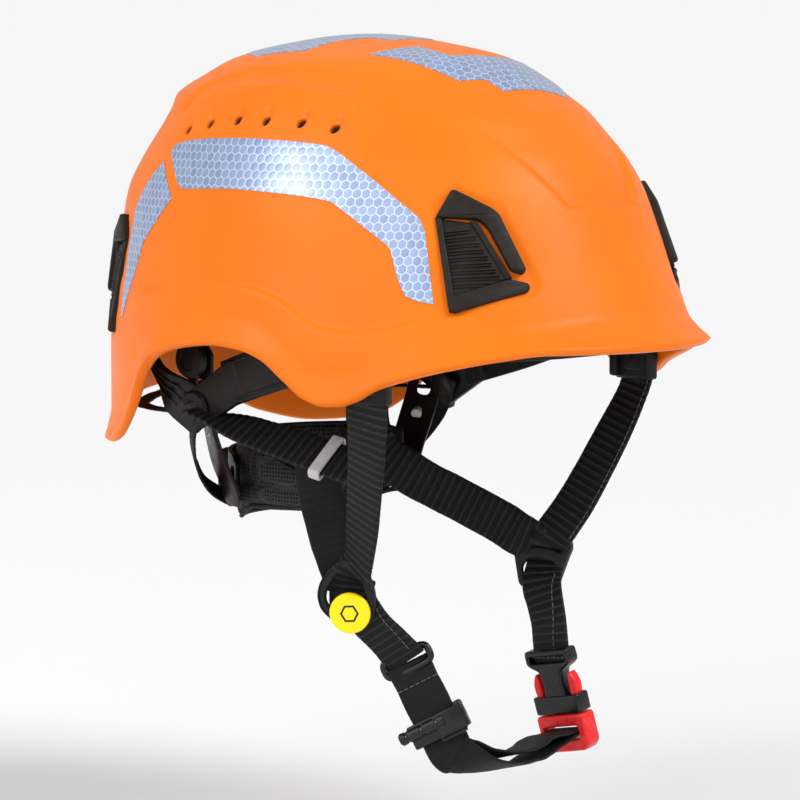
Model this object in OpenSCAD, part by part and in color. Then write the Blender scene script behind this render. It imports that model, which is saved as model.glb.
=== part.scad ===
// Climbing helmet for tree work: shell, liner, suspension, nape cradle with size knob,
// lamp clips and a four-point chin harness with a side-release buckle.
// Frame: +Z up, front of the helmet towards -Y, wearer's right towards -X,
// origin at the centre of the headband plane, where the head sits.

/* [Shell] */
// Outside length of the shell, without the brim lip
shell_length = 278; // [274:1:282]
// Outside width of the shell, without the rim flare
shell_width = 210; // [207:1:213]
// Height of the crown above the headband plane
crown_height = 120; // [118:1:122]
// Thickness of the shell wall
shell_wall = 3.2; // [2.6:0.1:3.6]
// How far the rim flares outwards at the sides and the back
rim_flare = 2.5; // [1:0.5:3]
// Extra reach of the brim at the front
brim_reach = 6; // [3:1:8]
// Height of the flared band above the edge
flare_band = 13; // [10:1:16]
// Thickness of the foam liner
liner_wall = 14; // [10:1:16]

/* [Suspension] */
// Half width of the headband
band_half_width = 80; // [79:0.5:81]
// Half length of the headband
band_half_length = 99; // [97:0.5:100]
// Height of the headband strip
band_height = 20; // [16:1:22]
// Radius of the nape cradle's inner face
cradle_radius = 44; // [43:0.5:44.5]
// Thickness of the nape pad
pad_thick = 7; // [6:0.5:7]
// Radius of the size knob
knob_radius = 12; // [11:0.5:13]

/* [Harness] */
// Width of the harness webbing
web = 19; // [17:0.5:19]
// Thickness of the harness webbing
web_thick = 2; // [1.4:0.2:2.2]
// Width of the buckle
buckle_width = 25; // [24.5:0.5:26]
// Radius of the round caps on the side dividers
cap_radius = 8.6; // [7:0.2:9]

/* [Hidden] */

$fn = 48;
gap = 0.3;
columns = 72;
rows = 20;
row_spread = 1.8;
black = [0.07, 0.065, 0.06];
orange = [0.96, 0.45, 0.1];

// Shape of the shell: height as a share of the crown, then half width and half length
// as shares of the full ones, and the shift of the section's centre towards the back
stations = [[1, 0, 0, 18], [0.972, 0.263, 0.25, 18.5], [0.917, 0.467, 0.468, 18],
    [0.858, 0.581, 0.568, 18], [0.797, 0.662, 0.655, 19], [0.733, 0.714, 0.709, 15],
    [0.667, 0.757, 0.755, 13.5], [0.567, 0.824, 0.824, 12], [0.458, 0.876, 0.878, 11.5],
    [0.208, 0.938, 0.939, 7.5], [0.058, 0.976, 0.971, 5], [-0.1, 1, 1, 2], [-0.6, 1, 1, 2]];
// Height of the shell's lower edge against the direction around the head, 0 at the front
edge_line = [[0, -5.5], [22, -5.5], [31, -8], [40, -12], [49, -17], [54, -20.5], [58, -25],
    [62, -27.5], [66, -27.8], [70, -25.5], [75, -18.5], [81, -10.5], [88, -6.5], [96, -5.3], [104, -6.5],
    [112, -9.5], [117, -13], [121, -19], [127, -35], [131, -43], [136, -49.5],
    [142, -52.5], [150, -53.5], [160, -49], [170, -38], [180, -34]];

function unit(v) = v / norm(v);
function flip(list, s) = [for (p = list) [s * p[0], p[1], p[2]]];
function ease(t) = let (c = min(1, max(0, t))) c * c * (3 - 2 * c);

// The stations are read against the root of the depth below the crown, so that the dome
// closes smoothly at the top
function depth_root(h) = sqrt(max(0, 1 - h));
function station(h, k) = lookup(depth_root(h), [for (s = stations) [depth_root(s[0]), s[k]]]);
function heading(a) = atan2(abs(shell_width / 2 * sin(a)), shell_length / 2 * cos(a) - 2);
function edge_z(a) = lookup(heading(a), edge_line);
function flare(a, z) =
    let (front = ease((52 - heading(a)) / 30))
    (rim_flare + (brim_reach - rim_flare) * front) * ease(1 - (z - edge_z(a)) / flare_band);

// A point of the shell's skin at angle a from the front, moved inwards by inset
function skin(a, z, inset) =
    let (h = (z + inset) / crown_height,
        w = max(0.4, station(h, 1) * shell_width / 2 - inset + flare(a, z)),
        l = max(0.4, station(h, 2) * shell_length / 2 - inset + flare(a, z)))
    [w * sin(a), station(h, 3) - l * cos(a), z];

// A closed dome between two insets, down to the height that bottom(a) gives
module dome(outer, inner, follow_edge, bottom) {
    low = [for (j = [0:columns - 1]) follow_edge ? edge_z(j * 360 / columns) : bottom];
    tops = [crown_height - outer, crown_height - inner];
    skins = [for (k = [0:1]) for (i = [1:rows]) for (j = [0:columns - 1])
        let (z = tops[k] - (tops[k] - low[j]) * pow(i / rows, row_spread))
        skin(j * 360 / columns, z, k == 0 ? outer : inner)];
    apexes = [for (t = tops) [0, stations[0][3], t]];
    top = 2 * rows * columns;
    side = function (k, i, j) (k * rows + i - 1) * columns + (j + columns) % columns;
    faces = concat(
        [for (j = [0:columns - 1]) [top, side(0, 1, j + 1), side(0, 1, j)]],
        [for (j = [0:columns - 1]) [top + 1, side(1, 1, j), side(1, 1, j + 1)]],
        [for (i = [1:rows - 1]) for (j = [0:columns - 1])
            each [[side(0, i, j), side(0, i, j + 1), side(0, i + 1, j + 1)],
                [side(0, i, j), side(0, i + 1, j + 1), side(0, i + 1, j)],
                [side(1, i, j), side(1, i + 1, j + 1), side(1, i, j + 1)],
                [side(1, i, j), side(1, i + 1, j), side(1, i + 1, j + 1)]]],
        [for (j = [0:columns - 1])
            each [[side(0, rows, j), side(0, rows, j + 1), side(1, rows, j + 1)],
                [side(0, rows, j), side(1, rows, j + 1), side(1, rows, j)]]]);
    polyhedron(concat(skins, apexes), faces, convexity = 6);
}

// A smooth line through points, with a few steps between each two
function curve_at(p, i, t) =
    let (n = len(p) - 1, a = p[max(0, i - 1)], b = p[i], c = p[min(n, i + 1)],
        d = p[min(n, i + 2)])
    0.5 * (2 * b + (c - a) * t + (2 * a - 5 * b + 4 * c - d) * t * t
        + (3 * b - a - 3 * c + d) * t * t * t);
function curve(p, steps) = [for (i = [0:len(p) - 2]) for (s = [0:steps - 1])
    curve_at(p, i, s / steps), p[len(p) - 1]];

// A flat strip along points, its width along the matching across vectors
module ribbon(points, across, width, thick, steps = 4) {
    line = curve(points, steps);
    sides = curve(across, steps);
    n = len(line) - 1;
    corners = [for (i = [0:n])
        let (t = unit(line[min(n, i + 1)] - line[max(0, i - 1)]),
            w = unit(sides[i] - t * (sides[i] * t)), u = cross(t, w),
            a = w * width / 2, b = u * thick / 2)
        each [line[i] + a + b, line[i] - a + b, line[i] - a - b, line[i] + a - b]];
    faces = concat([[0, 1, 2, 3]], [[3, 2, 1, 0] + [1, 1, 1, 1] * 4 * n],
        [for (i = [0:n - 1]) for (j = [0:3])
            let (a = 4 * i + j, b = 4 * i + (j + 1) % 4)
            each [[a, a + 4, b + 4], [a, b + 4, b]]]);
    polyhedron(corners, faces, convexity = 4);
}

// Children placed at a point, with their x and z axes along two directions
module placed(at, x_dir, z_dir) {
    z = unit(z_dir);
    x = unit(x_dir - z * (x_dir * z));
    y = cross(z, x);
    multmatrix([[x[0], y[0], z[0], at[0]], [x[1], y[1], z[1], at[1]],
        [x[2], y[2], z[2], at[2]], [0, 0, 0, 1]]) children();
}
module block(low, high) {
    translate(low) cube(high - low);
}
module on_side(s) {
    if (s > 0) children();
    else mirror([1, 0, 0]) children();
}

// ---- shell and liner ----
module shell() {
    color(orange) dome(0, shell_wall, true, 0);
}
liner_bottom = 8;
liner_gap = 1;
module liner() {
    color([0.12, 0.12, 0.12])
        dome(shell_wall + liner_gap, shell_wall + liner_gap + liner_wall, false, liner_bottom);
}
crown_pad_radius = 38;
crown_pad_curve = 60;
crown_pad_thick = 6;
module crown_pad() {
    top = crown_height - shell_wall - liner_wall - 4.4;
    color([0.1, 0.1, 0.1]) translate([0, stations[0][3], top - crown_pad_curve])
        intersection() {
            difference() {
                sphere(r = crown_pad_curve, $fn = 96);
                sphere(r = crown_pad_curve - crown_pad_thick, $fn = 96);
            }
            cylinder(r = crown_pad_radius, h = crown_pad_curve + 1);
        }
}

// ---- headband: an open oval, low at its two rear ends ----
band_end = 108;
function band_point(a, inset) = [(band_half_width - inset) * sin(a),
    2 - (band_half_length - inset) * cos(a),
    lookup(abs(a), [[0, -2], [50, -3], [75, -9], [90, -17], [band_end, -26]])];
module band_strip(reach, inset, height, thick) {
    angles = [for (a = [-reach:reach / 9:reach]) a];
    ribbon([for (a = angles) band_point(a, inset)], [for (a = angles) [0, 0, 1]],
        height, thick, 3);
}
module headband() {
    color(black) band_strip(band_end, 0, band_height, 2);
}
module brow_pad() {
    color([0.1, 0.1, 0.1]) band_strip(48, 4.6, band_height - 2, 6);
}

// ---- hangers that carry the straps ----
hanger_front = [87, -57, -20];
module hanger_front(s) {
    color(black) on_side(s) placed(hanger_front, [0.15, 0.99, 0], [0, 0, 1]) {
        block([-11, -3.5, -9], [11, 3.5, 12]);
        block([-11, 3, 2], [11, 7, 12]);
    }
}
pivot = [74, 50, -16];
pivot_radius = 3;
junction = [80, 46, -37];
module hanger_rear(s) {
    color(black) on_side(s) {
        ribbon([junction, [82, 58, -29], [80, 70, -19], [76, 80, -11], [73, 88, -6]],
            [for (i = [0:4]) [0, -0.6, -0.8]], 14, 2.6);
        ribbon([junction, [79, 36, -29], [78.2, 30, -26], [77.6, 22, -23]],
            [for (i = [0:3]) [0, -0.5, -0.85]], 17, 2.2);
        ribbon([junction, [79.4, 48, -27], [78.6, 50, -16]],
            [for (i = [0:2]) [0, 1, 0]], 12, 2.4);
        placed(junction, [0, 1, 0], [1, 0, 0]) cylinder(r = 8.5, h = 4, center = true);
        placed([pivot[0] + 2.6, pivot[1], pivot[2]], [0, 1, 0], [1, 0, 0])
            cylinder(r = 8, h = 4);
        translate([pivot[0] - 1.6, pivot[1], pivot[2]]) rotate([0, 90, 0])
            cylinder(r = pivot_radius, h = 5);
    }
}

// ---- lamp clips: a ribbed panel with a foot and a hooked arm ----
clip_front_at = [-60, -93, 30];
clip_rear_at = [-65, 108, 14];
clip_depth = 3;
clip_root = 3.2;
module clip_shape() {
    color(black) translate([0, 0, -clip_root]) {
        linear_extrude(clip_root + clip_depth)
            polygon([[-16.7, 19], [-1.5, 15.7], [12.2, -7.6], [20, -9], [20.8, -11],
                [19.5, -13], [-10, -21.5], [-12.5, -21]]);
        linear_extrude(clip_root + clip_depth + 1.5)
            polygon([[-17, 18.5], [-10.5, 29.5], [-9, 29.6], [6, 21.5], [8.5, 19.5],
                [19.2, -4], [17.5, -5.6], [13, -4.4], [3.6, 14], [0, 17]]);
    }
}
// The face of a clip looks outwards and a little up, and its hook opens away from the ear
module clip_front(s) {
    on_side(-s) placed(clip_front_at, [0.71, -0.704, 0], [-0.668, -0.673, 0.319])
        clip_shape();
}
module clip_rear(s) {
    on_side(-s) placed(clip_rear_at, [-0.66, -0.75, 0], [-0.74, 0.64, 0.14])
        mirror([1, 0, 0]) clip_shape();
}

// ---- nape cradle: two arms, a curved housing and its pad ----
cradle_y = 30;
pad_low = -90;
pad_high = -49;
pad_start = 13;
arm_width = 15;
arm_thick = 1.8;
housing_in = cradle_radius + pad_thick + gap;
housing_wall = 2;
arm_line = [[73.4, 50, -10], [73.4, 50, -22], [70, 50, -38], [61, 51, -60],
    [55.2, 50, -72], [53.2, 49.5, -80]];
arm_across = [[0, 1, 0], [0, 1, 0], [-0.55, 0.83, 0], [-0.42, 0.9, 0], [-0.36, 0.93, 0],
    [-0.35, 0.93, 0]];
arm_slot = [-40, -28];
module arm(s) {
    color([0.1, 0.08, 0.07]) on_side(s) difference() {
        ribbon(arm_line, arm_across, arm_width, arm_thick);
        translate([pivot[0] - 5, pivot[1], pivot[2]]) rotate([0, 90, 0])
            cylinder(r = pivot_radius + 0.1, h = 10);
        for (z = arm_slot) translate([60, pivot[1], z]) rotate([0, 90, 0])
            cylinder(r = 2.8, h = 20);
        block([60, pivot[1] - 2.8, arm_slot[0]], [80, pivot[1] + 2.8, arm_slot[1]]);
    }
}
// A thin strap on each side that lifts the cradle towards the rear yoke
module cradle_strap(s) {
    color(black) on_side(s)
        ribbon([[78, 50.5, -50], [70, 56, -60], [58, 61, -71], [44, 62.6, -78]],
            [for (i = [0:3]) [-0.43, 0.68, 0.6]], 10, 1.4);
}
rivet_at = [65.8, 50.4, -48];
module arm_rivets() {
    color([0.85, 0.85, 0.85]) for (s = [-1, 1]) on_side(s)
        placed(rivet_at, [0, 1, 0], [0.8, 0.4, 0.38]) cylinder(r = 2.4, h = 4, center = true);
}
module arc_wall(r, thick, from, to, low, high) {
    translate([0, cradle_y, low]) rotate([0, 0, from])
        rotate_extrude(angle = to - from, $fn = 96)
            translate([r, 0]) square([thick, high - low]);
}
case_half = 22;
case_back = cradle_y + housing_in + housing_wall;
knob_z = -72;
pinion_pitch = 5;
pinion_teeth = 10;
tooth_pitch = 2 * PI * pinion_pitch / pinion_teeth;
slot_y = case_back + 0.6;
slot_depth = 4;
shaft_radius = 3;
module nape_housing() {
    color([0.1, 0.1, 0.1]) difference() {
        union() {
            arc_wall(housing_in, housing_wall, 22, 158, -84, -57);
            block([-case_half, case_back - 1.4, knob_z - 12], [case_half, case_back + 6.2,
                knob_z + 12]);
        }
        block([-case_half - 1, slot_y, knob_z - 9.6], [case_half + 1, slot_y + slot_depth,
            knob_z + 9.6]);
        translate([0, case_back, knob_z]) rotate([-90, 0, 0])
            cylinder(r = shaft_radius + 0.08, h = 10);
    }
}
module nape_pad() {
    color([0.06, 0.06, 0.06])
        arc_wall(cradle_radius, pad_thick, pad_start, 180 - pad_start, pad_low, pad_high);
}

// ---- size knob, its pinion and the two racks of the headband's tails ----
grip_count = 14;
module size_knob() {
    face = case_back + 6.2 + gap;
    color([0.08, 0.08, 0.08]) translate([0, 0, knob_z]) rotate([-90, 0, 0]) {
        difference() {
            translate([0, 0, face]) cylinder(r = knob_radius, h = 7);
            for (k = [0:grip_count - 1]) rotate([0, 0, k * 360 / grip_count])
                translate([knob_radius + 0.6, 0, face + 1]) cylinder(r = 1.6, h = 8, $fn = 24);
        }
        translate([0, 0, slot_y + 3.6]) cylinder(r = shaft_radius, h = face - slot_y - 3.6);
    }
}
// One tooth of the pinion: its two roots and the two corners of its tip
tooth_shape = [[-0.85, 3.8], [-0.3, 5.8], [0.3, 5.8], [0.85, 3.8]];
module knob_pinion() {
    outline = [for (k = [0:pinion_teeth - 1]) let (a = -k * 360 / pinion_teeth)
        for (p = tooth_shape) [p[0] * cos(a) - p[1] * sin(a), p[0] * sin(a) + p[1] * cos(a)]];
    color([0.8, 0.8, 0.75]) translate([0, slot_y + 3.6, knob_z]) rotate([90, 0, 0])
        linear_extrude(3.2) polygon(outline);
}
rack_back = 9;
rack_length = 34;
// s is +1 for the rack above the pinion and -1 for the one below
module rack(s) {
    reach = 11;
    first = -floor(reach / tooth_pitch);
    last = floor((rack_length - reach) / tooth_pitch) - 1;
    color([0.15, 0.15, 0.15]) translate([0, slot_y + 3.6, knob_z]) rotate([90, 0, 0])
        rotate(s > 0 ? 0 : 180) linear_extrude(3.2) {
            translate([-reach - 1, 6.2]) square([rack_length, rack_back - 6.2]);
            for (k = [first:last]) translate([(k + 0.5) * tooth_pitch, 0])
                polygon([[-0.85, 6.3], [-0.3, 4.2], [0.3, 4.2], [0.85, 6.3]]);
        }
}
module nape_strap() {
    points = [[82, 54, -38], [76, 76, -38], [60, 97, -38], [32, 112, -36], [0, 116, -34]];
    whole = concat(flip(points, -1), [for (i = [3:-1:0]) points[i]]);
    color(black) ribbon(whole, [for (p = whole) unit([p[0], p[1], 0])], 6, 1.6);
}

// ---- harness webbing ----
module webbing(points, across, thick = web_thick) {
    color([0.05, 0.05, 0.05]) ribbon(points, across, web, thick);
}
divider_right_at = [-62, -25, -109];
divider_left_at = [62, -25, -106];
front_line = [[88, -58, -24], [86, -56, -34], [80, -50, -52], [70, -39, -80], [64, -31, -99]];
front_across = [[0.15, 0.99, 0], [0.15, 0.99, 0], [0, 0.99, 0.1], [-0.1, 0.97, 0.2],
    [-0.2, 0.94, 0.3]];
module strap_front(s) {
    webbing(flip(front_line, s), flip(front_across, s));
}
module strap_rear_left() {
    webbing([[68, 54, -22], [52, 55, -26], [35.5, 52, -38], [30.5, 46, -58], [39, 31, -72],
        [50, 12, -83], [59, -7, -94], [61, -18, -99]],
        [[0, 1, 0], [0, 1, 0], [-0.75, 0.66, 0], [-0.3, 0.6, 0.7], [0.2, -0.3, 0.9],
        [0.25, -0.35, 0.9], [0.25, -0.4, 0.85], [0.25, -0.4, 0.85]]);
}
rear_run = [-0.265, 0.927, 0.265];
keeper_at = [-67.5, -17, -54];
keeper_across = [0.79, 0.05, 0.6];
module strap_rear_right() {
    webbing([keeper_at + rear_run * 66, keeper_at + rear_run * 56, keeper_at + rear_run * 34,
        keeper_at - rear_run * 8, keeper_at - rear_run * 19],
        [[0.6, 0, 0.8], [0.7, 0.05, 0.6], keeper_across, keeper_across, keeper_across]);
}
module strap_rear_right_lower() {
    webbing([[-61.5, -8, -62], [-62, -9, -72], [-62, -13, -84], [-61, -18, -97]],
        [[0.5, -0.85, 0.1], [0.6, -0.8, 0], [0.7, -0.7, 0], [0.6, -0.8, 0]]);
}
module strap_keeper() {
    color([0.72, 0.72, 0.7]) placed(keeper_at, keeper_across, rear_run) difference() {
        block([-web / 2 - 2.2, -web_thick / 2 - 1.8, -4],
            [web / 2 + 2.2, web_thick / 2 + 1.8, 4]);
        block([-web / 2 - 0.7, -web_thick / 2 - 0.5, -5],
            [web / 2 + 0.7, web_thick / 2 + 0.5, 5]);
    }
}

// ---- side dividers, where the front and rear straps meet the chin strap ----
divider_thick = 3.6;
module divider_plate() {
    rotate([90, 0, 0]) linear_extrude(divider_thick, center = true) difference() {
        hull() {
            translate([-11.5, 9]) circle(r = 3, $fn = 32);
            translate([11.5, 10]) circle(r = 3, $fn = 32);
            translate([6.5, -12]) circle(r = 3, $fn = 32);
            translate([-6.5, -12]) circle(r = 3, $fn = 32);
        }
        polygon([[-11, 9], [-9, 5.5], [0, 7.5], [9, 6], [11, 9.5], [8, 10.5], [-8, 10]]);
        polygon([[-8, -8], [-8.5, -3], [-5, 1.5], [0, 3.2], [5, 1.5], [8.5, -3], [8, -8]]);
    }
}
module divider_frame(s) {
    if (s > 0) placed(divider_left_at, [0.3, -0.94, 0], [0.15, 0, 1]) children();
    else placed(divider_right_at, [0.5, -0.86, 0], [-0.1, 0, 1]) children();
}
module divider(s) {
    color([0.09, 0.09, 0.09]) divider_frame(s) divider_plate();
}
// The cap stands on the outer face of the plate, over the arch
module divider_cap(s) {
    color([1, 0.92, 0]) divider_frame(s) translate([0, 0, -9])
        rotate([s > 0 ? -90 : 90, 0, 0]) translate([0, 0, divider_thick / 2 + gap])
            cylinder(r = cap_radius, h = 2.4);
}

// ---- chin strap, buckle and ladder lock ----
ring_at = [-40, -37, -140];
lock_at = [-35, -50, -166];
lock_run = unit(ring_at - lock_at);
lock_across = [0.55, -0.7, 0.45];
chin_across = [0.1, -0.88, 0.46];
module chin_strap_right() {
    webbing([[-60, -27, -119], [-54, -29.5, -124], [-47, -33, -131], ring_at + [-0.5, 0.5, 2]],
        [chin_across, chin_across, chin_across, [0.3, -0.84, 0.45]], 2 * web_thick);
}
module chin_ring() {
    color([0.05, 0.05, 0.05]) placed(ring_at, [0.45, -0.8, 0.4], lock_run) difference() {
        block([-web / 2 - 2.5, -2, -5], [web / 2 + 2.5, 2, 5]);
        block([-web / 2 - 0.4, -3, -2.5], [web / 2 + 0.4, 3, 2.5]);
    }
}
module chin_strap_lower() {
    webbing([for (d = [27, 21, 14, -8, -13]) lock_at + lock_run * d],
        [for (d = [0:4]) lock_across]);
}
module ladder_lock() {
    color([0.06, 0.06, 0.06]) placed(lock_at, lock_across, lock_run) difference() {
        union() {
            block([-web / 2 - 3.4, -3.4, -6], [web / 2 + 3.4, 3.4, 6]);
            translate([-web / 2 - 7, 0, 3]) rotate([0, 90, 0]) cylinder(r = 2.6, h = 8);
        }
        block([-web / 2 - 0.6, -web_thick / 2 - 0.5, -7],
            [web / 2 + 0.6, web_thick / 2 + 0.5, 7]);
    }
}
buckle_at = [58.6, -40.8, -172.2];
buckle_across = [0, -0.985, 0.17];
buckle_run = [-0.17, 0.164, 0.97];
buckle_face = unit(cross(buckle_run, buckle_across));
module at_buckle() {
    placed(buckle_at, buckle_across, buckle_run) children();
}
function from_buckle(h) = buckle_at + unit(buckle_run) * h;
module chin_loop() {
    webbing([lock_at - lock_run * 14, [-27, -58, -179], [-9, -59, -184.5], [12, -56, -186],
        [34, -48, -185], from_buckle(-9) - buckle_face * 11, from_buckle(-9)],
        [lock_across, [0.4, -0.85, 0.35], [0.2, -0.95, 0.25], [0.1, -0.98, 0.2],
        buckle_across, buckle_across, buckle_across]);
}
module chin_strap_left() {
    webbing([[60, -28, -116], [57, -31, -122], [55, -34, -133], from_buckle(24.5)],
        [[0.2, -0.95, 0.3], [0.15, -0.97, 0.25], buckle_across, buckle_across], 2 * web_thick);
}
half_buckle = buckle_width / 2;
waist = 5.2;
prong_in = 7.7;
prong_out = 10.5;
module buckle_socket() {
    color([0.06, 0.06, 0.06]) at_buckle() difference() {
        union() {
            block([-half_buckle, -4.5, 0], [half_buckle, 4.5, 8]);
            block([-waist, -4.5, 7], [waist, 4.5, 21]);
            block([-half_buckle + 1, -4, 20], [half_buckle - 1, 4, 22]);
            for (s = [-1, 1]) translate([s * (half_buckle - 1.6), 0, 21]) block([-1.2, -2, 0],
                [1.2, 2, 7]);
            block([-half_buckle + 0.4, -2, 26], [half_buckle - 0.4, 2, 28.4]);
        }
        block([-prong_out - 0.4, -2.9, -1], [prong_out + 0.4, 2.9, 9]);
        block([-3, -1.4, -1], [3, 1.4, 19]);
    }
}
module buckle_plug() {
    color([0.92, 0.1, 0.1]) at_buckle() {
        difference() {
            block([-half_buckle - 0.4, -4.5, -17], [half_buckle + 0.4, 4.5, -0.6]);
            block([-web / 2 - 0.4, -5, -13], [web / 2 + 0.4, 5, -5]);
        }
        block([-2.6, -1.1, -1], [2.6, 1.1, 16]);
    }
}
// s is +1 for the prong on the front edge of the buckle and -1 for the one on the back edge
module prong(s) {
    color([0.92, 0.1, 0.1]) at_buckle() mirror([s > 0 ? 0 : 1, 0, 0])
        rotate([90, 0, 0]) linear_extrude(5, center = true)
            polygon([[prong_in, -0.4], [prong_out - 0.6, -0.4], [prong_out, 3],
                [prong_out, 15], [prong_out - 0.8, 18], [prong_in + 0.8, 18.6],
                [prong_in, 17.5]]);
}

shell();
liner();
crown_pad();
headband();
brow_pad();
hanger_front(1);  // hanger_front_left
hanger_front(-1);  // hanger_front_right
hanger_rear(1);  // hanger_rear_left
hanger_rear(-1);  // hanger_rear_right
clip_front(1);  // clip_front_left
clip_front(-1);  // clip_front_right
clip_rear(1);  // clip_rear_left
clip_rear(-1);  // clip_rear_right
arm(1);  // arm_left
arm(-1);  // arm_right
arm_rivets();
cradle_strap(1);  // cradle_strap_left
cradle_strap(-1);  // cradle_strap_right
nape_housing();
nape_pad();
size_knob();
knob_pinion();
rack(1);  // rack_left
rack(-1);  // rack_right
nape_strap();
strap_front(1);  // strap_front_left
strap_front(-1);  // strap_front_right
strap_rear_left();
strap_rear_right();
strap_rear_right_lower();
strap_keeper();
divider(1);  // divider_left
divider(-1);  // divider_right
divider_cap(1);  // divider_cap_left
divider_cap(-1);  // divider_cap_right
chin_strap_right();
chin_ring();
chin_strap_lower();
ladder_lock();
chin_loop();
chin_strap_left();
buckle_socket();
buckle_plug();
prong(1);  // prong_front
prong(-1);  // prong_back
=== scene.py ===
import math
from contextlib import contextmanager

import bmesh
import bpy
import numpy as np
from mathutils import Matrix, Vector
from mathutils.bvhtree import BVHTree


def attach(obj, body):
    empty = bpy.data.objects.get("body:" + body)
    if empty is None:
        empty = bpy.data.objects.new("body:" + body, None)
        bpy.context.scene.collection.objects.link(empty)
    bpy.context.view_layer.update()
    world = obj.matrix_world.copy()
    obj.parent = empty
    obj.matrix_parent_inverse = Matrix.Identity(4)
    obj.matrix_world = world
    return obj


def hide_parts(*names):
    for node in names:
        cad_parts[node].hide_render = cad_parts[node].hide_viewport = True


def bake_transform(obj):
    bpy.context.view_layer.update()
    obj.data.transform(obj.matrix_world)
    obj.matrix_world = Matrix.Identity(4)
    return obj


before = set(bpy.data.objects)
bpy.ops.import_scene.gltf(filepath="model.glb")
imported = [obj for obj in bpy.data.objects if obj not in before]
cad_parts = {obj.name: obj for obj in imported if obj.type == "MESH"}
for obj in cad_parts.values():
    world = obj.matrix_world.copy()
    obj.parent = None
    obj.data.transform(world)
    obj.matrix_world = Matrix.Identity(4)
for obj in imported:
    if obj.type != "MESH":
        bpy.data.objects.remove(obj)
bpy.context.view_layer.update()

MM = 0.001

# ---------------------------------------------------------------- camera
VIEW_AZIMUTH = math.radians(-48.5)
VIEW_ELEVATION = math.radians(5)
VIEW_DISTANCE = 2000
VIEW_TARGET = Vector((-1.1, 1.3, -35.4))
LENS = 211


def direction(azimuth, elevation):
    """Unit vector from the target towards a viewer at that azimuth and elevation."""
    return Vector((math.sin(azimuth) * math.cos(elevation),
                   -math.cos(azimuth) * math.cos(elevation), math.sin(elevation)))


def make_camera():
    camera = bpy.data.objects.new("camera", bpy.data.cameras.new("camera"))
    camera.data.lens = LENS
    camera.data.clip_end = 900
    back = direction(VIEW_AZIMUTH, VIEW_ELEVATION)
    camera.location = (VIEW_TARGET + back * VIEW_DISTANCE) * MM
    camera.rotation_euler = back.to_track_quat("Z", "Y").to_euler()
    bpy.context.scene.collection.objects.link(camera)
    bpy.context.scene.camera = camera


make_camera()

# ---------------------------------------------------------------- driving numbers
SHELL_LENGTH, SHELL_WIDTH, CROWN = 278, 210, 120
SHELL_WALL = 3.2
RIM_FLARE, BRIM_REACH = 2.2, 6
WEB, WEB_THICK = 19, 2
RIB_PITCH = 3.4
STATIONS = np.array([
    (1, 0, 0, 18), (0.972, 0.263, 0.25, 18.5), (0.917, 0.467, 0.468, 18),
    (0.858, 0.581, 0.568, 18), (0.797, 0.662, 0.655, 19), (0.733, 0.714, 0.709, 15),
    (0.667, 0.757, 0.755, 13.5), (0.567, 0.824, 0.824, 12), (0.458, 0.876, 0.878, 11.5),
    (0.208, 0.938, 0.939, 7.5), (0.058, 0.976, 0.971, 5), (-0.1, 1, 1, 2), (-0.6, 1, 1, 2)])
EDGE_LINE = np.array([
    (0, -5.5), (22, -5.5), (31, -8), (40, -12), (49, -17), (54, -20.5), (58, -25), (62, -27.5),
    (66, -27.8), (70, -25.5), (75, -18.5), (81, -10.5), (88, -6.5), (96, -5.3), (104, -6.5),
    (112, -9.5), (117, -13), (121, -19), (127, -35), (131, -43), (136, -49.5), (142, -52.5),
    (150, -53.5), (160, -49), (170, -38), (180, -34)], float)
# Height of the crease over the brim, then of the crease over the ears, by heading
BRIM_CREASE = np.array([(0, 8.1), (14, 6.3), (27, 1.6), (38, -4.6), (46, -9), (60, -19),
                        (180, -19)], float)
SIDE_CREASE = np.array([(0, 12), (40, 7.9), (59, 1.3), (66, 2.5), (78, 13.8), (85, 17),
                        (93, 18.4), (122, 13.6), (180, 10)], float)


# ---------------------------------------------------------------- small maths
def ease(t):
    t = np.clip(t, 0, 1)
    return t * t * (3 - 2 * t)


def unit(v):
    v = np.asarray(v, float)
    return v / np.linalg.norm(v, axis=-1, keepdims=True)


def smooth_lookup(x, xs, ys):
    """A smooth line through the points, which never overshoots between them."""
    if xs[0] > xs[-1]:
        xs, ys = xs[::-1], ys[::-1]
    step = np.diff(xs)
    slope = np.diff(ys) / step
    same = slope[:-1] * slope[1:] > 0
    total = np.where(same, slope[:-1] + slope[1:], 1)
    inner = np.where(same, 2 * slope[:-1] * slope[1:] / total, 0)
    m = np.concatenate([slope[:1], inner, slope[-1:]])
    x = np.clip(x, xs[0], xs[-1])
    i = np.clip(np.searchsorted(xs, x) - 1, 0, len(step) - 1)
    t = (x - xs[i]) / step[i]
    return (ys[i] * (1 + 2 * t) * (1 - t) ** 2 + m[i] * step[i] * t * (1 - t) ** 2
            + ys[i + 1] * t * t * (3 - 2 * t) + m[i + 1] * step[i] * t * t * (t - 1))


def catmull(points, steps):
    """The CAD model's smooth line through points, with some steps between each two."""
    p = np.asarray(points, float)
    n = len(p) - 1
    t = (np.arange(steps) / steps)[:, None]
    out = []
    for i in range(n):
        a, b, c, d = p[max(0, i - 1)], p[i], p[i + 1], p[min(n, i + 2)]
        out.append(0.5 * (2 * b + (c - a) * t + (2 * a - 5 * b + 4 * c - d) * t ** 2
                          + (3 * b - a - 3 * c + d) * t ** 3))
    return np.vstack(out + [p[-1:]])


def arc_lengths(points):
    steps = np.linalg.norm(np.diff(points, axis=0), axis=1)
    return np.concatenate([[0], np.cumsum(steps)])


def resample(points, count):
    arc = arc_lengths(points)
    at = np.linspace(0, arc[-1], count)
    return np.stack([np.interp(at, arc, points[:, k]) for k in range(points.shape[1])], 1)


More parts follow.
